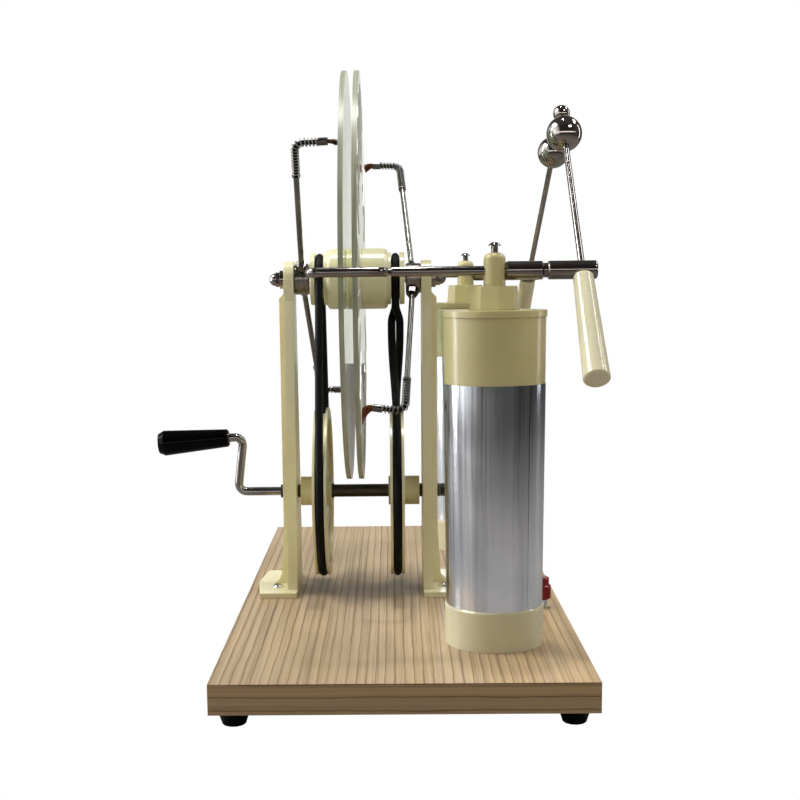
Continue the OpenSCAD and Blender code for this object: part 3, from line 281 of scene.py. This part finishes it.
def plastic(name, low, high, rough, edge, wax=0.0, shine=0.5):
    """Moulded plastic between two tones; wax lets light in under its skin."""
    m, nt, p = new_material(name)
    v = coords(nt)
    cloud = noise(nt, v, 18.0, 5.0, 0.55)
    nt.links.new(ramp(nt, cloud, [(0.3, low), (0.7, high)]), p.inputs["Base Color"])
    fine = noise(nt, v, 900.0, 3.0, 0.6)
    roughness = map_range(nt, fine, 0.3, 0.7, rough * 0.85, rough * 1.25)
    nt.links.new(roughness, p.inputs["Roughness"])
    bumped(nt, p, noise(nt, v, 120.0, 4.0, 0.5), 0.12, 0.0004, edge)
    p.inputs["IOR"].default_value = PLASTIC_IOR
    p.inputs["Specular IOR Level"].default_value = shine
    if wax:
        p.inputs["Subsurface Weight"].default_value = wax
        p.inputs["Subsurface Radius"].default_value = (0.004, 0.0035, 0.0018)
        p.inputs["Subsurface Scale"].default_value = 1.0
    return m


def metal(name, low, high, rough, scale, bump=0.05, edge=0.0002, streak=(1, 1, 1), share=1.0):
    """Metal between two tones; scale is of its marks, share its part of Metallic."""
    m, nt, p = new_material(name)
    v = coords(nt, streak)
    n = noise(nt, v, scale, 5.0, 0.6)
    nt.links.new(ramp(nt, n, [(0.3, low), (0.7, high)]), p.inputs["Base Color"])
    p.inputs["Metallic"].default_value = share
    fine = noise(nt, v, scale * 6, 4.0, 0.65)
    roughness = map_range(nt, fine, 0.3, 0.7, rough * 0.7, rough * 1.4)
    nt.links.new(roughness, p.inputs["Roughness"])
    bumped(nt, p, fine, bump, 0.0002, edge)
    return m


def rubber(name, tone):
    m, nt, p = new_material(name)
    v = coords(nt)
    n = noise(nt, v, 60.0, 5.0, 0.6)
    dull = tuple(t * 0.6 for t in tone)
    nt.links.new(ramp(nt, n, [(0.3, dull), (0.75, tone)]), p.inputs["Base Color"])
    nt.links.new(map_range(nt, n, 0.2, 0.8, 0.38, 0.6), p.inputs["Roughness"])
    p.inputs["Specular IOR Level"].default_value = 0.12
    bumped(nt, p, noise(nt, v, 700.0, 3.0, 0.7), 0.25, 0.0003)
    return m


def foil_material(name):
    """Rolled foil: upright streaks, strong near the top edge and calm below; painted shade darkens it
    high up on the right half.
    """
    m, nt, p = new_material(name)
    v = coords(nt, (1, 1, 0.015))
    wide = noise(nt, v, 48.0, 3.0, 0.5)
    thin = noise(nt, v, 300.0, 4.0, 0.65)
    at = axes(nt)
    upper = map_range(nt, at["Z"], 0.07, 0.17, 0.15, 1.0)
    streak = times(nt, math_node(nt, "SUBTRACT", thin, 0.5), upper)
    tone = add(nt, times(nt, wide, 0.8), times(nt, streak, 1.1))
    col = ramp(nt, tone, [
        (0.22, (0.32, 0.33, 0.36)), (0.34, (0.60, 0.62, 0.66)), (0.46, (0.86, 0.89, 0.94))])
    cloud = noise(nt, coords(nt), 30.0, 5.0, 0.6)
    haze = ramp(nt, cloud, [(0.35, (0.84, 0.86, 0.89)), (0.65, WHITE)])
    # painted shade: a darker reflection painted high up on the jar's right half
    middle = (JAR_X - X_MID) * MM
    painted_shade_right = map_range(nt, at["X"], middle - 0.014, middle + 0.003)
    high = map_range(nt, at["Z"], 0.08, 0.16)
    shade = ramp(nt, times(nt, painted_shade_right, high), [(0.0, WHITE), (1.0, (0.42, 0.43, 0.45))])
    nt.links.new(tinted(nt, tinted(nt, col, haze), shade), p.inputs["Base Color"])
    p.inputs["Metallic"].default_value = 1.0
    nt.links.new(map_range(nt, cloud, 0.3, 0.7, 0.11, 0.2), p.inputs["Roughness"])
    folds = noise(nt, coords(nt, (1, 1, 0.05)), 95.0, 5.0, 0.62)
    height = add(nt, times(nt, folds, upper), times(nt, tone, 0.4))
    bumped(nt, p, height, 0.42, 0.0008)
    return m


def wood_material():
    """Printed board: brown growth lines along Y on top, along the length at the sides, which carry
    painted shade.
    """
    m, nt, p = new_material("printed_wood")
    at = axes(nt)
    facing = axes(nt, "Normal")

    def face(across, along_scale, period, wander, shade):
        """Growth lines a period apart across one axis, stretched by along_scale; shade is a painted
        shade tint.
        """
        along = coords(nt, along_scale)
        slow = noise(nt, along, 9.0, 2.0, 0.5)
        kinked = coords(nt, tuple(1 - (1 - v) * 0.85 for v in along_scale))
        kinks = noise(nt, kinked, 90.0, 3.0, 0.6)
        steps = math_node(nt, "DIVIDE", at[across], period)
        f = add(nt, add(nt, steps, times(nt, slow, wander)), times(nt, kinks, 0.45))
        line = ramp(nt, math_node(nt, "FRACT", f), [
            (0.0, 1.0), (0.05, 0.8), (0.1, 0.3), (0.3, 0.08), (0.9, 0.0), (0.96, 0.3), (1.0, 1.0)])
        fade = map_range(nt, noise(nt, along, 34.0, 3.0, 0.6), 0.35, 0.62, 0.45, 1.0)
        fibre = noise(nt, coords(nt, tuple(v * v for v in along_scale)), 420.0, 5.0, 0.7)
        patch = noise(nt, along, 13.0, 4.0, 0.55)
        base = ramp(nt, patch, [
            (0.34, (0.43, 0.315, 0.185)), (0.5, (0.55, 0.41, 0.25)), (0.66, (0.62, 0.445, 0.24))])
        fibres = ramp(nt, fibre, [(0.3, (0.56, 0.52, 0.46)), (0.5, (0.92, 0.91, 0.90)), (0.72, 1.12)])
        # shade multiplies the body colour: painted shade on the sides, white on top
        body = tinted(nt, tinted(nt, base, fibres), shade)
        dark = times(nt, line, fade)
        return mix_color(nt, dark, body, (0.12, 0.062, 0.027)), dark

    def facing_along(axis):
        return math_node(nt, "GREATER_THAN", math_node(nt, "ABSOLUTE", facing[axis]), 0.6)

    # painted shade: the front and side faces are tinted darker for the shade they sit in
    painted_edge_shade = (0.80, 0.74, 0.66)
    top, top_dark = face("X", (1, 0.09, 1), 0.0055, 3.2, WHITE)
    front, _ = face("Z", (0.05, 1, 1), 0.0075, 0.5, painted_edge_shade)
    side, _ = face("Z", (1, 0.05, 1), 0.0075, 0.5, painted_edge_shade)
    flat = mix_color(nt, facing_along("Y"), top, front)
    nt.links.new(mix_color(nt, facing_along("X"), flat, side), p.inputs["Base Color"])
    nt.links.new(map_range(nt, top_dark, 0.0, 1.0, 0.42, 0.6), p.inputs["Roughness"])
    bumped(nt, p, noise(nt, coords(nt, (1, 0.1, 1)), 500.0, 4.0, 0.6), 0.1, 0.0003, 0.0006)
    return m


def disc_material(name, axis_z):
    """Clear sheet: see-through faces, a greenish sawn rim."""
    m, nt, p = new_material(name)
    at = axes(nt)
    z = math_node(nt, "SUBTRACT", at["Z"], axis_z)
    r = math_node(nt, "SQRT", add(nt, times(nt, at["Y"], at["Y"]), times(nt, z, z)))
    rim = math_node(nt, "GREATER_THAN", r, (DISC_R - RIM_SKIN) * MM)
    v = coords(nt)
    streak = noise(nt, coords(nt, (30, 1, 1)), 30.0, 4.0, 0.6)
    cloud = noise(nt, v, 25.0, 4.0, 0.6)
    face = ramp(nt, cloud, [(0.3, (0.80, 0.84, 0.72)), (0.7, (0.90, 0.92, 0.82))])
    edge = ramp(nt, streak, [(0.3, (0.28, 0.30, 0.20)), (0.7, (0.50, 0.52, 0.39))])
    nt.links.new(mix_color(nt, rim, face, edge), p.inputs["Base Color"])
    nt.links.new(map_range(nt, rim, 0.0, 1.0, 0.06, 0.35), p.inputs["Roughness"])
    nt.links.new(map_range(nt, rim, 0.0, 1.0, 0.55, 0.12), p.inputs["Transmission Weight"])
    p.inputs["IOR"].default_value = SHEET_IOR
    bumped(nt, p, noise(nt, v, 40.0, 4.0, 0.6), 0.08, 0.0006)
    through = nt.nodes.new("ShaderNodeBsdfTransparent")
    through.inputs[0].default_value = (0.90, 0.93, 0.89, 1)
    glancing = nt.nodes.new("ShaderNodeLayerWeight")
    glancing.inputs[0].default_value = 0.35
    ray = nt.nodes.new("ShaderNodeLightPath")
    # the faces let straight light through, less so at a low angle; shadows stay pale
    clear = math_node(nt, "SUBTRACT", 0.85, glancing.outputs["Facing"], clamp=True)
    clear = times(nt, clear, math_node(nt, "SUBTRACT", 1.0, rim))
    clear = math_node(nt, "MAXIMUM", clear, times(nt, ray.outputs["Is Shadow Ray"], 0.5))
    surface(nt, mix_shader(nt, clear, p.outputs[0], through.outputs[0]))
    return m


def floor_material():
    """White to the camera, a pale floor to all other light."""
    m, nt, p = new_material("pale_floor")
    p.inputs["Base Color"].default_value = (*FLOOR_TONE, 1)
    p.inputs["Roughness"].default_value = 0.7
    glow = nt.nodes.new("ShaderNodeEmission")
    glow.inputs[0].default_value = (*WHITE, 1)
    glow.inputs[1].default_value = 1.0
    ray = nt.nodes.new("ShaderNodeLightPath")
    surface(nt, mix_shader(nt, ray.outputs["Is Camera Ray"], p.outputs[0], glow.outputs[0]))
    return m


# Materials: tones, roughness, scale of a metal's marks or radius of a plastic's corners
IVORY = plastic("ivory_moulding", (0.60, 0.53, 0.255), (0.69, 0.625, 0.335), 0.22, 0.0007, wax=0.2)
# a lighter copy of the ivory moulding: painted light for the frame parts, which a light from the
# front left brightens
IVORY_PAINTED_LIT = plastic("ivory_painted_lit", (0.76, 0.70, 0.43), (0.84, 0.79, 0.53), 0.22, 0.0008, wax=0.2)
IVORY_LIGHT = plastic("ivory_pale", (0.70, 0.65, 0.43), (0.79, 0.75, 0.54), 0.09, 0.0006, wax=0.3)
BLACK_GLOSS = plastic("grip_plastic", (0.0008, 0.0008, 0.0009), (0.0018, 0.0018, 0.002),
                      0.14, 0.0006, shine=0.06)
RED_KNOB = plastic("red_knob", (0.20, 0.004, 0.007), (0.32, 0.007, 0.011),
                   0.2, 0.0004, shine=0.4)
DARK_CHROME = metal("dark_chrome", (0.17, 0.15, 0.14), (0.27, 0.245, 0.23), 0.1, 40.0)
BASE_METAL = metal("terminal_metal", (0.55, 0.53, 0.51), (0.72, 0.70, 0.68), 0.2, 80.0)
BLACK_METAL = metal("black_nut", (0.02, 0.018, 0.017), (0.05, 0.045, 0.042), 0.35, 90.0)
BALL_CHROME = metal("ball_chrome", (0.24, 0.215, 0.20), (0.35, 0.32, 0.30),
                    0.07, 25.0, bump=0.02, edge=0)
BOSS_STEEL = metal("turned_boss", (0.17, 0.155, 0.14), (0.27, 0.25, 0.23),
                   0.26, 90.0, bump=0.15, streak=(6, 1, 1))
ROD_STEEL = metal("drawn_rod", (0.22, 0.205, 0.195), (0.34, 0.32, 0.31), 0.12, 50.0)
ARM_STEEL = metal("brush_arm", (0.10, 0.093, 0.09), (0.19, 0.18, 0.17), 0.2, 30.0, bump=0.01)
SPRING_STEEL = metal("spring_wire", (0.20, 0.19, 0.185), (0.34, 0.325, 0.315), 0.3, 200.0, edge=0)
# a core wire inside each spring, its near-black tone painted shade for the dark gaps between the
# curls
CORE_PAINTED_SHADE = metal("painted_shade_core_wire", (0.012, 0.010, 0.009), (0.03, 0.026, 0.024), 0.5, 200.0, edge=0)
SCREW_STEEL = metal("screw_plate", (0.55, 0.54, 0.53), (0.74, 0.73, 0.72), 0.2, 120.0)
BRASS = metal("turned_brass", (0.62, 0.47, 0.24), (0.76, 0.60, 0.33), 0.25, 80.0)
OLD_COPPER = metal("tarnished_strands", (0.05, 0.03, 0.02), (0.16, 0.08, 0.05), 0.4, 500.0, edge=0)
COPPER = metal("copper_strands", (0.15, 0.04, 0.018), (0.42, 0.15, 0.07), 0.35, 500.0, edge=0)
DARK_TUBE = metal("dark_tube", (0.05, 0.042, 0.035), (0.10, 0.085, 0.07),
                  0.42, 60.0, bump=0.2, streak=(1, 8, 8))
SECTOR_FOIL = metal("sector_foil", (0.70, 0.70, 0.68), (0.84, 0.84, 0.82),
                    0.35, 300.0, bump=0.2, edge=0, share=0.6)
BELT_RUBBER = rubber("belt_rubber", (0.005, 0.005, 0.005))
FOOT_RUBBER = rubber("foot_rubber", (0.002, 0.002, 0.0025))
FOIL = foil_material("jar_foil")
WOOD = wood_material()
CLEAR = disc_material("clear_sheet", (UPPER_Z + GROUND) * MM)

NODE_MATERIALS = {
    IVORY: ["near_jar_cup", "far_jar_cup", "jar_lids", "post_nuts", "posts", "left_clamp_ring",
            "right_clamp_ring"],
    IVORY_PAINTED_LIT: ["left_upright", "right_upright", "left_hub", "right_hub", "left_drive_pulley",
                  "right_drive_pulley"],
    IVORY_LIGHT: ["near_handle", "far_handle", "jar_bases"],
    DARK_CHROME: ["near_collector", "far_collector", "bar_sleeves", "near_swivel", "far_swivel",
                  "axle_washers", "axle_nuts", "clamp_screws"],
    BASE_METAL: ["terminal_bases"],
    BLACK_METAL: ["shaft_nut"],
    BALL_CHROME: ["near_ball", "far_ball"],
    BOSS_STEEL: ["left_rod_boss", "right_rod_boss"],
    ROD_STEEL: ["near_electrode_rod", "far_electrode_rod", "crank_shaft", "upper_axle"],
    ARM_STEEL: ["left_rod_arms", "right_rod_arms"],
    SCREW_STEEL: ["foot_screws", "upright_screws"],
    SPRING_STEEL: ["left_springs", "right_springs"],
    COPPER: ["left_brushes", "right_brushes"],
    BRASS: ["left_bearing", "right_bearing", "jar_rods"],
    DARK_TUBE: ["spacer_tube", "shaft_bushes"],
    BLACK_GLOSS: ["crank_grip"],
    RED_KNOB: ["near_terminal_knob", "far_terminal_knob"],
    BELT_RUBBER: ["open_belt", "crossed_belt"],
    FOOT_RUBBER: ["feet"],
    FOIL: ["jar_foils", "inner_foils"],
    SECTOR_FOIL: ["left_sectors", "right_sectors"],
    WOOD: ["board"],
    CLEAR: ["left_disc", "right_disc"],
}
for material, names in NODE_MATERIALS.items():
    for name in names:
        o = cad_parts[name]
        for i in range(len(o.data.materials)):
            o.data.materials[i] = material


# Geometry
def place(p):
    """Working frame of the part in millimetres to the row frame in metres."""
    return Vector(((p[0] - X_MID) * MM, p[1] * MM, (p[2] + GROUND) * MM))


def link_object(name, data):
    o = bpy.data.objects.new(name, data)
    bpy.context.scene.collection.objects.link(o)
    return o


def ring(centre, direction, up, radius, n):
    u = (up - direction * up.dot(direction)).normalized()
    v = direction.cross(u)
    return [centre + (u * math.cos(a) + v * math.sin(a)) * radius
            for a in (2 * math.pi * k / n for k in range(n))]


def tube_data(path, radius, n, up=None, closed=False):
    """Vertices and faces of a tube; radius is a number or one number a point."""
    m = len(path)
    verts, faces = [], []
    last_up = up
    for i, c in enumerate(path):
        if closed:
            d = (path[(i + 1) % m] - path[i - 1]).normalized()
        else:
            d = (path[min(i + 1, m - 1)] - path[max(i - 1, 0)]).normalized()
        if last_up is None:
            last_up = Vector((0, 0, 1)) if abs(d.z) < 0.9 else Vector((0, 1, 0))
        u = (last_up - d * last_up.dot(d)).normalized()
        r = radius[i] if isinstance(radius, list) else radius
        verts += ring(c, d, u, r, n)
        if up is None:
            last_up = u
    for i in range(m if closed else m - 1):
        j = (i + 1) % m
        for k in range(n):
            l = (k + 1) % n
            faces.append((i * n + k, i * n + l, j * n + l, j * n + k))
    if not closed:
        faces.append(tuple(range(n - 1, -1, -1)))
        faces.append(tuple((m - 1) * n + k for k in range(n)))
    return verts, faces


def add_piece(name, parts, material, body, node=None, smooth=True):
    """One mesh object from (vertices, faces) lists in metres."""
    verts, faces = [], []
    for v, f in parts:
        base = len(verts)
        verts += [tuple(p) for p in v]
        faces += [tuple(base + i for i in q) for q in f]
    me = bpy.data.meshes.new(name)
    me.from_pydata(verts, [], faces)
    me.update()
    if smooth:
        for poly in me.polygons:
            poly.use_smooth = True
    me.materials.append(material)
    o = link_object(name, me)
    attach(o, body)
    if node:
        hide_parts(*node)
    return o


# Belts
def arc(r, z, a, b, steps):
    return [Vector((0, r * math.cos(t), z + r * math.sin(t)))
            for t in (math.radians(a + (b - a) * i / steps) for i in range(steps + 1))]


def ease(u):
    return (1 - math.cos(math.pi * u)) / 2


def swell(t):
    """Sideways share of a crossed strand, counted from the hub; full where the strands cross."""
    cross = HUB_PITCH / (HUB_PITCH + DRIVE_PITCH)
    start, full_to, end = cross * 0.45, cross * 1.3, 0.8
    if t < start or t > end:
        return 0.0
    if t < cross:
        return ease((t - start) / (cross - start))
    if t < full_to:
        return 1.0
    return ease((end - t) / (end - full_to))


def strand(hub_end, drive_end, bulge, steps):
    """Points between a hub's and a drive pulley's arc, both ends left out."""
    return [hub_end.lerp(drive_end, i / steps) + Vector((bulge * swell(i / steps), 0, 0))
            for i in range(1, steps)]


def belt_path(crossed):
    """Closed middle line of a belt in the plane X = 0."""
    rise = UPPER_Z - LOWER_Z
    if crossed:
        t = math.degrees(math.asin((DRIVE_PITCH + HUB_PITCH) / rise))
        hub = arc(HUB_PITCH, UPPER_Z, -t, 180 + t, 48)
        drive = arc(DRIVE_PITCH, LOWER_Z, 180 - t, 360 + t, 96)
        bulge = (BELT_D + BELT_GAP) / 2
        down = strand(hub[-1], drive[-1], bulge, 80)
        back = strand(hub[0], drive[0], -bulge, 80)
        return hub + down + drive[::-1] + back[::-1]
    t = math.degrees(math.asin((DRIVE_PITCH - HUB_PITCH) / rise))
    hub = arc(HUB_PITCH, UPPER_Z, t, 180 - t, 32)
    drive = arc(DRIVE_PITCH, LOWER_Z, 180 - t, 360 + t, 90)
    down = strand(hub[-1], drive[0], 0, 24)
    back = strand(hub[0], drive[-1], 0, 24)
    return hub + down + drive + back[::-1]


for name, crossed, x in (("open_belt", False, FRAME_X - BELT_OFF),
                         ("crossed_belt", True, FRAME_X + BELT_OFF)):
    path = [place(p + Vector((x, 0, 0))) for p in belt_path(crossed)]
    add_piece("round_" + name, [tube_data(path, BELT_D / 2 * MM, 20, Vector((1, 0, 0)), True)],
              BELT_RUBBER, "frame", [name])


# Springs, core wires and brushes
def side_sign(side):
    return -1 if side == "left" else 1


def arm_matrix(side, k, lean):
    """From an arm's own millimetres, Z along the arm, to the row frame in metres."""
    s = side_sign(side)
    m = Matrix.Translation((-BOSS_MID, 0, UPPER_Z)) @ Matrix.Rotation(math.radians(180 * k), 4, "X") \
        @ Matrix.Rotation(math.radians(lean), 4, "Y")
    if s > 0:
        m = Matrix.Scale(-1, 4, (1, 0, 0)) @ m
    m = Matrix.Translation((FRAME_X, 0, 0)) @ m
    up = Matrix.Translation((0, 0, UPPER_Z))
    m = up @ Matrix.Rotation(math.radians(-s * ARM_ANGLE), 4, "X") @ up.inverted() @ m
    return Matrix.Translation((-X_MID * MM, 0, GROUND * MM)) @ Matrix.Scale(MM, 4) @ m


def bend_point(t):
    """Point of the spring's bend at the angle t."""
    return Vector((SPRING_BEND * (1 - math.cos(t)), 0,
                   SPRING_R0 + SPRING_L + SPRING_BEND * math.sin(t)))


def away(t):
    return Vector((math.sin(t), 0, math.cos(t)))


def face_depth(side):
    """From a boss's middle to the sectors on the disc, along X."""
    return BOSS_MID - DISC_OUTER - side_sign(side) * DISC_SHIFT - SECTOR_T


def towards_disc(lean):
    """Direction to the disc in an arm's own millimetres."""
    l = math.radians(lean)
    return Vector((math.cos(l), 0, math.sin(l)))


def tail_length(side, lean, turn):
    """Length of the spring after its bend, so that the brush just reaches the sectors."""
    t = math.radians(turn)
    edge = (BRUSH_TIP_R + STRAND_R) * abs(math.cos(t + math.radians(lean)))
    reach = face_depth(side) - BRUSH_FIT - edge
    ahead = towards_disc(lean)
    return (reach - bend_point(t).dot(ahead)) / away(t).dot(ahead) - FERRULE_L - BRUSH_L


def spring_mid(s, turn):
    """Point and direction angle of a spring's centre line at distance s."""
    t = math.radians(turn)
    bend_l = SPRING_BEND * t
    if s < SPRING_L:
        return Vector((0, 0, SPRING_R0 + s)), 0.0
    if s < SPRING_L + bend_l:
        a = (s - SPRING_L) / SPRING_BEND
        return bend_point(a), a
    return bend_point(t) + away(t) * (s - SPRING_L - bend_l), t


def spring_parts(side, k, lean, turn):
    m = arm_matrix(side, k, lean)
    bend_l = SPRING_BEND * math.radians(turn)
    tail = tail_length(side, lean, turn)
    total = SPRING_L + bend_l + tail
    # closer curls on the arm, opener ones after the bend
    bent = ARM_CURLS + BEND_CURLS
    curls = bent + tail / TAIL_PITCH
    marks = [(0.0, 0.0), (SPRING_L, ARM_CURLS), (SPRING_L + bend_l, bent), (total, curls)]

    def at(turns):
        for (s0, c0), (s1, c1) in zip(marks, marks[1:]):
            if turns <= c1:
                return s0 + (s1 - s0) * (turns - c0) / (c1 - c0)
        return total

    steps = int(curls * 22)
    path = []
    for i in range(steps + 1):
        c = curls * i / steps
        p, a = spring_mid(at(c), turn)
        ph = 2 * math.pi * c
        out = Vector((math.cos(ph) * math.cos(a), math.sin(ph), -math.cos(ph) * math.sin(a)))
        path.append(m @ (p + out * CURL_R))
    wire = tube_data(path, WIRE_D / 2 * MM, 10)
    core_steps = 60
    core_path = [m @ spring_mid(total * i / core_steps, turn)[0] for i in range(core_steps + 1)]
    core = tube_data(core_path, CORE_R * MM, 12)
    return wire, core


def brush_parts(side, k, lean, turn, count, root_r, spread, reach_share, droop):
    """Fine strands from the ferrule to the disc; none goes deeper than the sectors."""
    m = arm_matrix(side, k, lean)
    t = math.radians(turn)
    d = away(t)
    start = bend_point(t) + d * (tail_length(side, lean, turn) + FERRULE_L - STRAND_ROOT)
    n1 = Vector((0, 1, 0))
    n2 = d.cross(n1).normalized()
    down = (m.to_3x3().normalized().inverted() @ Vector((0, 0, -1))).normalized()
    ahead = towards_disc(lean)
    wall = face_depth(side) - STRAND_R
    steps = 7
    radii = [FINE_STRAND_R * MM * (1 - 0.35 * j / steps) for j in range(steps + 1)]
    parts = []
    for i in range(count):
        a = rng.uniform(0, 2 * math.pi)
        q = math.sqrt(rng.random())
        outward = n1 * math.cos(a) + n2 * math.sin(a)
        splay = outward * (q * spread + rng.gauss(0, 0.05))
        length = (BRUSH_L + STRAND_ROOT) * reach_share * rng.uniform(0.86, 1.03)
        p = start + outward * root_r * q
        direction = (d + splay).normalized()
        pts = [p.copy()]
        for j in range(steps):
            direction = (direction + down * droop * rng.uniform(0.8, 1.2) / steps
                         + n1 * rng.gauss(0, 0.02)).normalized()
            p = p + direction * (length / steps)
            depth = p.dot(ahead)
            if depth > wall:
                p = p - ahead * (depth - wall)
            pts.append(p.copy())
        parts.append(tube_data([m @ x for x in pts], radii, 4))
    return parts


BRUSH_TONE = {"left": OLD_COPPER, "right": COPPER}
for side in ("left", "right"):
    wires, cores, tufts = [], [], []
    for arm in ARMS:
        if arm[0] != side:
            continue
        wire, core = spring_parts(*arm)
        wires.append(wire)
        cores.append(core)
        tufts += brush_parts(*arm, *BRUSH_FORM[arm[:2]])
    body = side + "_brush_rod"
    add_piece(side + "_wound_springs", wires, SPRING_STEEL, body, [side + "_springs"])
    # core wires, near black: painted shade seen between the curls
    add_piece(side + "_core_wires", cores, CORE_PAINTED_SHADE, body)
    add_piece(side + "_strand_brushes", tufts, BRUSH_TONE[side], body, [side + "_brushes"])


# Threads on the clamp screws
def thread(x, y, z0, z1):
    turns = (z1 - z0) / THREAD_PITCH
    steps = int(turns * 18)
    path = []
    for i in range(steps + 1):
        a = 2 * math.pi * turns * i / steps
        path.append(place((x + THREAD_R * math.cos(a), y + THREAD_R * math.sin(a),
                           z0 + (z1 - z0) * i / steps)))
    return tube_data(path, THREAD_WIRE_R * MM, 6)


add_piece("clamp_screw_threads",
          [thread(JAR_X, s * BAR_Y, POST_TOP + THREAD_FROM, POST_TOP + THREAD_TO) for s in (-1, 1)],
          DARK_CHROME, "frame")


# Overlapping edge of the foil, a strip round part of each jar
def cup_r(z):
    return CUP_R_LOW + (CUP_R_HIGH - CUP_R_LOW) * (z - CUP_FLOOR) / (CUP_TOP - CUP_FLOOR)


def foil_overlap(side):
    """Closed strip between two layers outside the foil, SEAM_FROM to SEAM_TO round the jar."""
    steps_a, steps_z = 14, 8
    verts, faces = [], []
    for layer in SEAM_LAYERS:
        for j in range(steps_z + 1):
            z = FOIL_LOW + SEAM_INSET + (FOIL_HIGH - FOIL_LOW - 2 * SEAM_INSET) * j / steps_z
            r = cup_r(z) + FOIL_T + layer
            for i in range(steps_a + 1):
                a = math.radians(SEAM_FROM + (SEAM_TO - SEAM_FROM) * i / steps_a)
                verts.append(place((JAR_X + r * math.cos(a), side * BAR_Y + r * math.sin(a), z)))
    w = steps_a + 1
    layer_n = w * (steps_z + 1)
    for j in range(steps_z):
        for i in range(steps_a):
            a, b, c, d = j * w + i, j * w + i + 1, (j + 1) * w + i + 1, (j + 1) * w + i
            faces.append((d, c, b, a))
            faces.append((a + layer_n, b + layer_n, c + layer_n, d + layer_n))
    rim = list(range(w)) + [j * w + w - 1 for j in range(1, steps_z + 1)] \
        + [steps_z * w + i for i in range(w - 2, -1, -1)] + [j * w for j in range(steps_z - 1, 0, -1)]
    for a, b in zip(rim, rim[1:] + rim[:1]):
        faces.append((a, b, b + layer_n, a + layer_n))
    return verts, faces


add_piece("foil_seams", [foil_overlap(-1), foil_overlap(1)], FOIL, "frame", smooth=False)


# Stage
def add_floor():
    me = bpy.data.meshes.new("floor")
    h = FLOOR_SIZE / 2
    me.from_pydata([(-h, -h, 0), (h, -h, 0), (h, h, 0), (-h, h, 0)], [], [(0, 1, 2, 3)])
    me.materials.append(floor_material())
    return link_object("floor", me)


floor = add_floor()


def area(name, at, target, w, h, watts):
    l = bpy.data.lights.new(name, "AREA")
    l.shape = "RECTANGLE"
    l.size, l.size_y = w, h
    l.energy = watts
    o = link_object(name, l)
    o.location = at
    o.rotation_euler = (Vector(target) - Vector(at)).to_track_quat("-Z", "Y").to_euler()


for light in LIGHTS:
    area(*light)


def room_world():
    """White to the camera and through clear pieces. In reflections a dim room with a pale
    back and left wall and a bright band low in front. A soft fill for all other light."""
    world = bpy.data.worlds.new("studio")
    bpy.context.scene.world = world
    world.use_nodes = True
    nt = world.node_tree
    for n in list(nt.nodes):
        nt.nodes.remove(n)

    def background(colour, strength=1.0):
        b = nt.nodes.new("ShaderNodeBackground")
        if isinstance(colour, tuple):
            b.inputs[0].default_value = (*colour, 1)
        else:
            nt.links.new(colour, b.inputs[0])
        b.inputs[1].default_value = strength
        return b.outputs[0]

    way = axes(nt, "Generated")
    ray = nt.nodes.new("ShaderNodeLightPath").outputs
    to_front = map_range(nt, way["Y"], -0.2, -0.7)
    to_back = map_range(nt, way["Y"], 0.82, 0.96)
    to_left = map_range(nt, way["X"], -0.55, -0.8)
    band = times(nt, map_range(nt, way["Z"], 0.05, 0.09), map_range(nt, way["Z"], 0.19, 0.14))
    room = mix_color(nt, to_back, mix_color(nt, to_front, ROOM, FRONT), BACKDROP)
    room = mix_color(nt, to_left, room, LEFT_WALL)
    room = mix_color(nt, times(nt, band, to_front), room, FRONT_BAND)
    seen = math_node(nt, "MAXIMUM", ray["Is Camera Ray"], ray["Is Transmission Ray"])
    lit = mix_shader(nt, ray["Is Glossy Ray"], background(FILL, FILL_STRENGTH), background(room))
    out = nt.nodes.new("ShaderNodeOutputWorld")
    nt.links.new(mix_shader(nt, seen, lit, background(WHITE)), out.inputs[0])


room_world()
bpy.context.scene.view_settings.view_transform = "Standard"


def add_camera():
    pitch, yaw, roll = (math.radians(a) for a in (CAMERA_PITCH, CAMERA_YAW, CAMERA_ROLL))
    forward = Vector((math.sin(yaw) * math.cos(pitch), math.cos(yaw) * math.cos(pitch),
                      -math.sin(pitch)))
    level = Vector((math.cos(yaw), -math.sin(yaw), 0))
    upright = level.cross(forward)
    right = level * math.cos(roll) + upright * math.sin(roll)
    up = upright * math.cos(roll) - level * math.sin(roll)
    cam = bpy.data.cameras.new("camera")
    cam.sensor_width = CAMERA_SENSOR
    cam.lens = CAMERA_LENS
    cam.shift_x, cam.shift_y = CAMERA_SHIFT
    cam.clip_start = CAMERA_NEAR
    m = Matrix((right, up, -forward)).transposed().to_4x4()
    m.translation = place(CAMERA_AT)
    o = link_object("camera", cam)
    o.matrix_world = m
    bpy.context.scene.camera = o


add_camera()
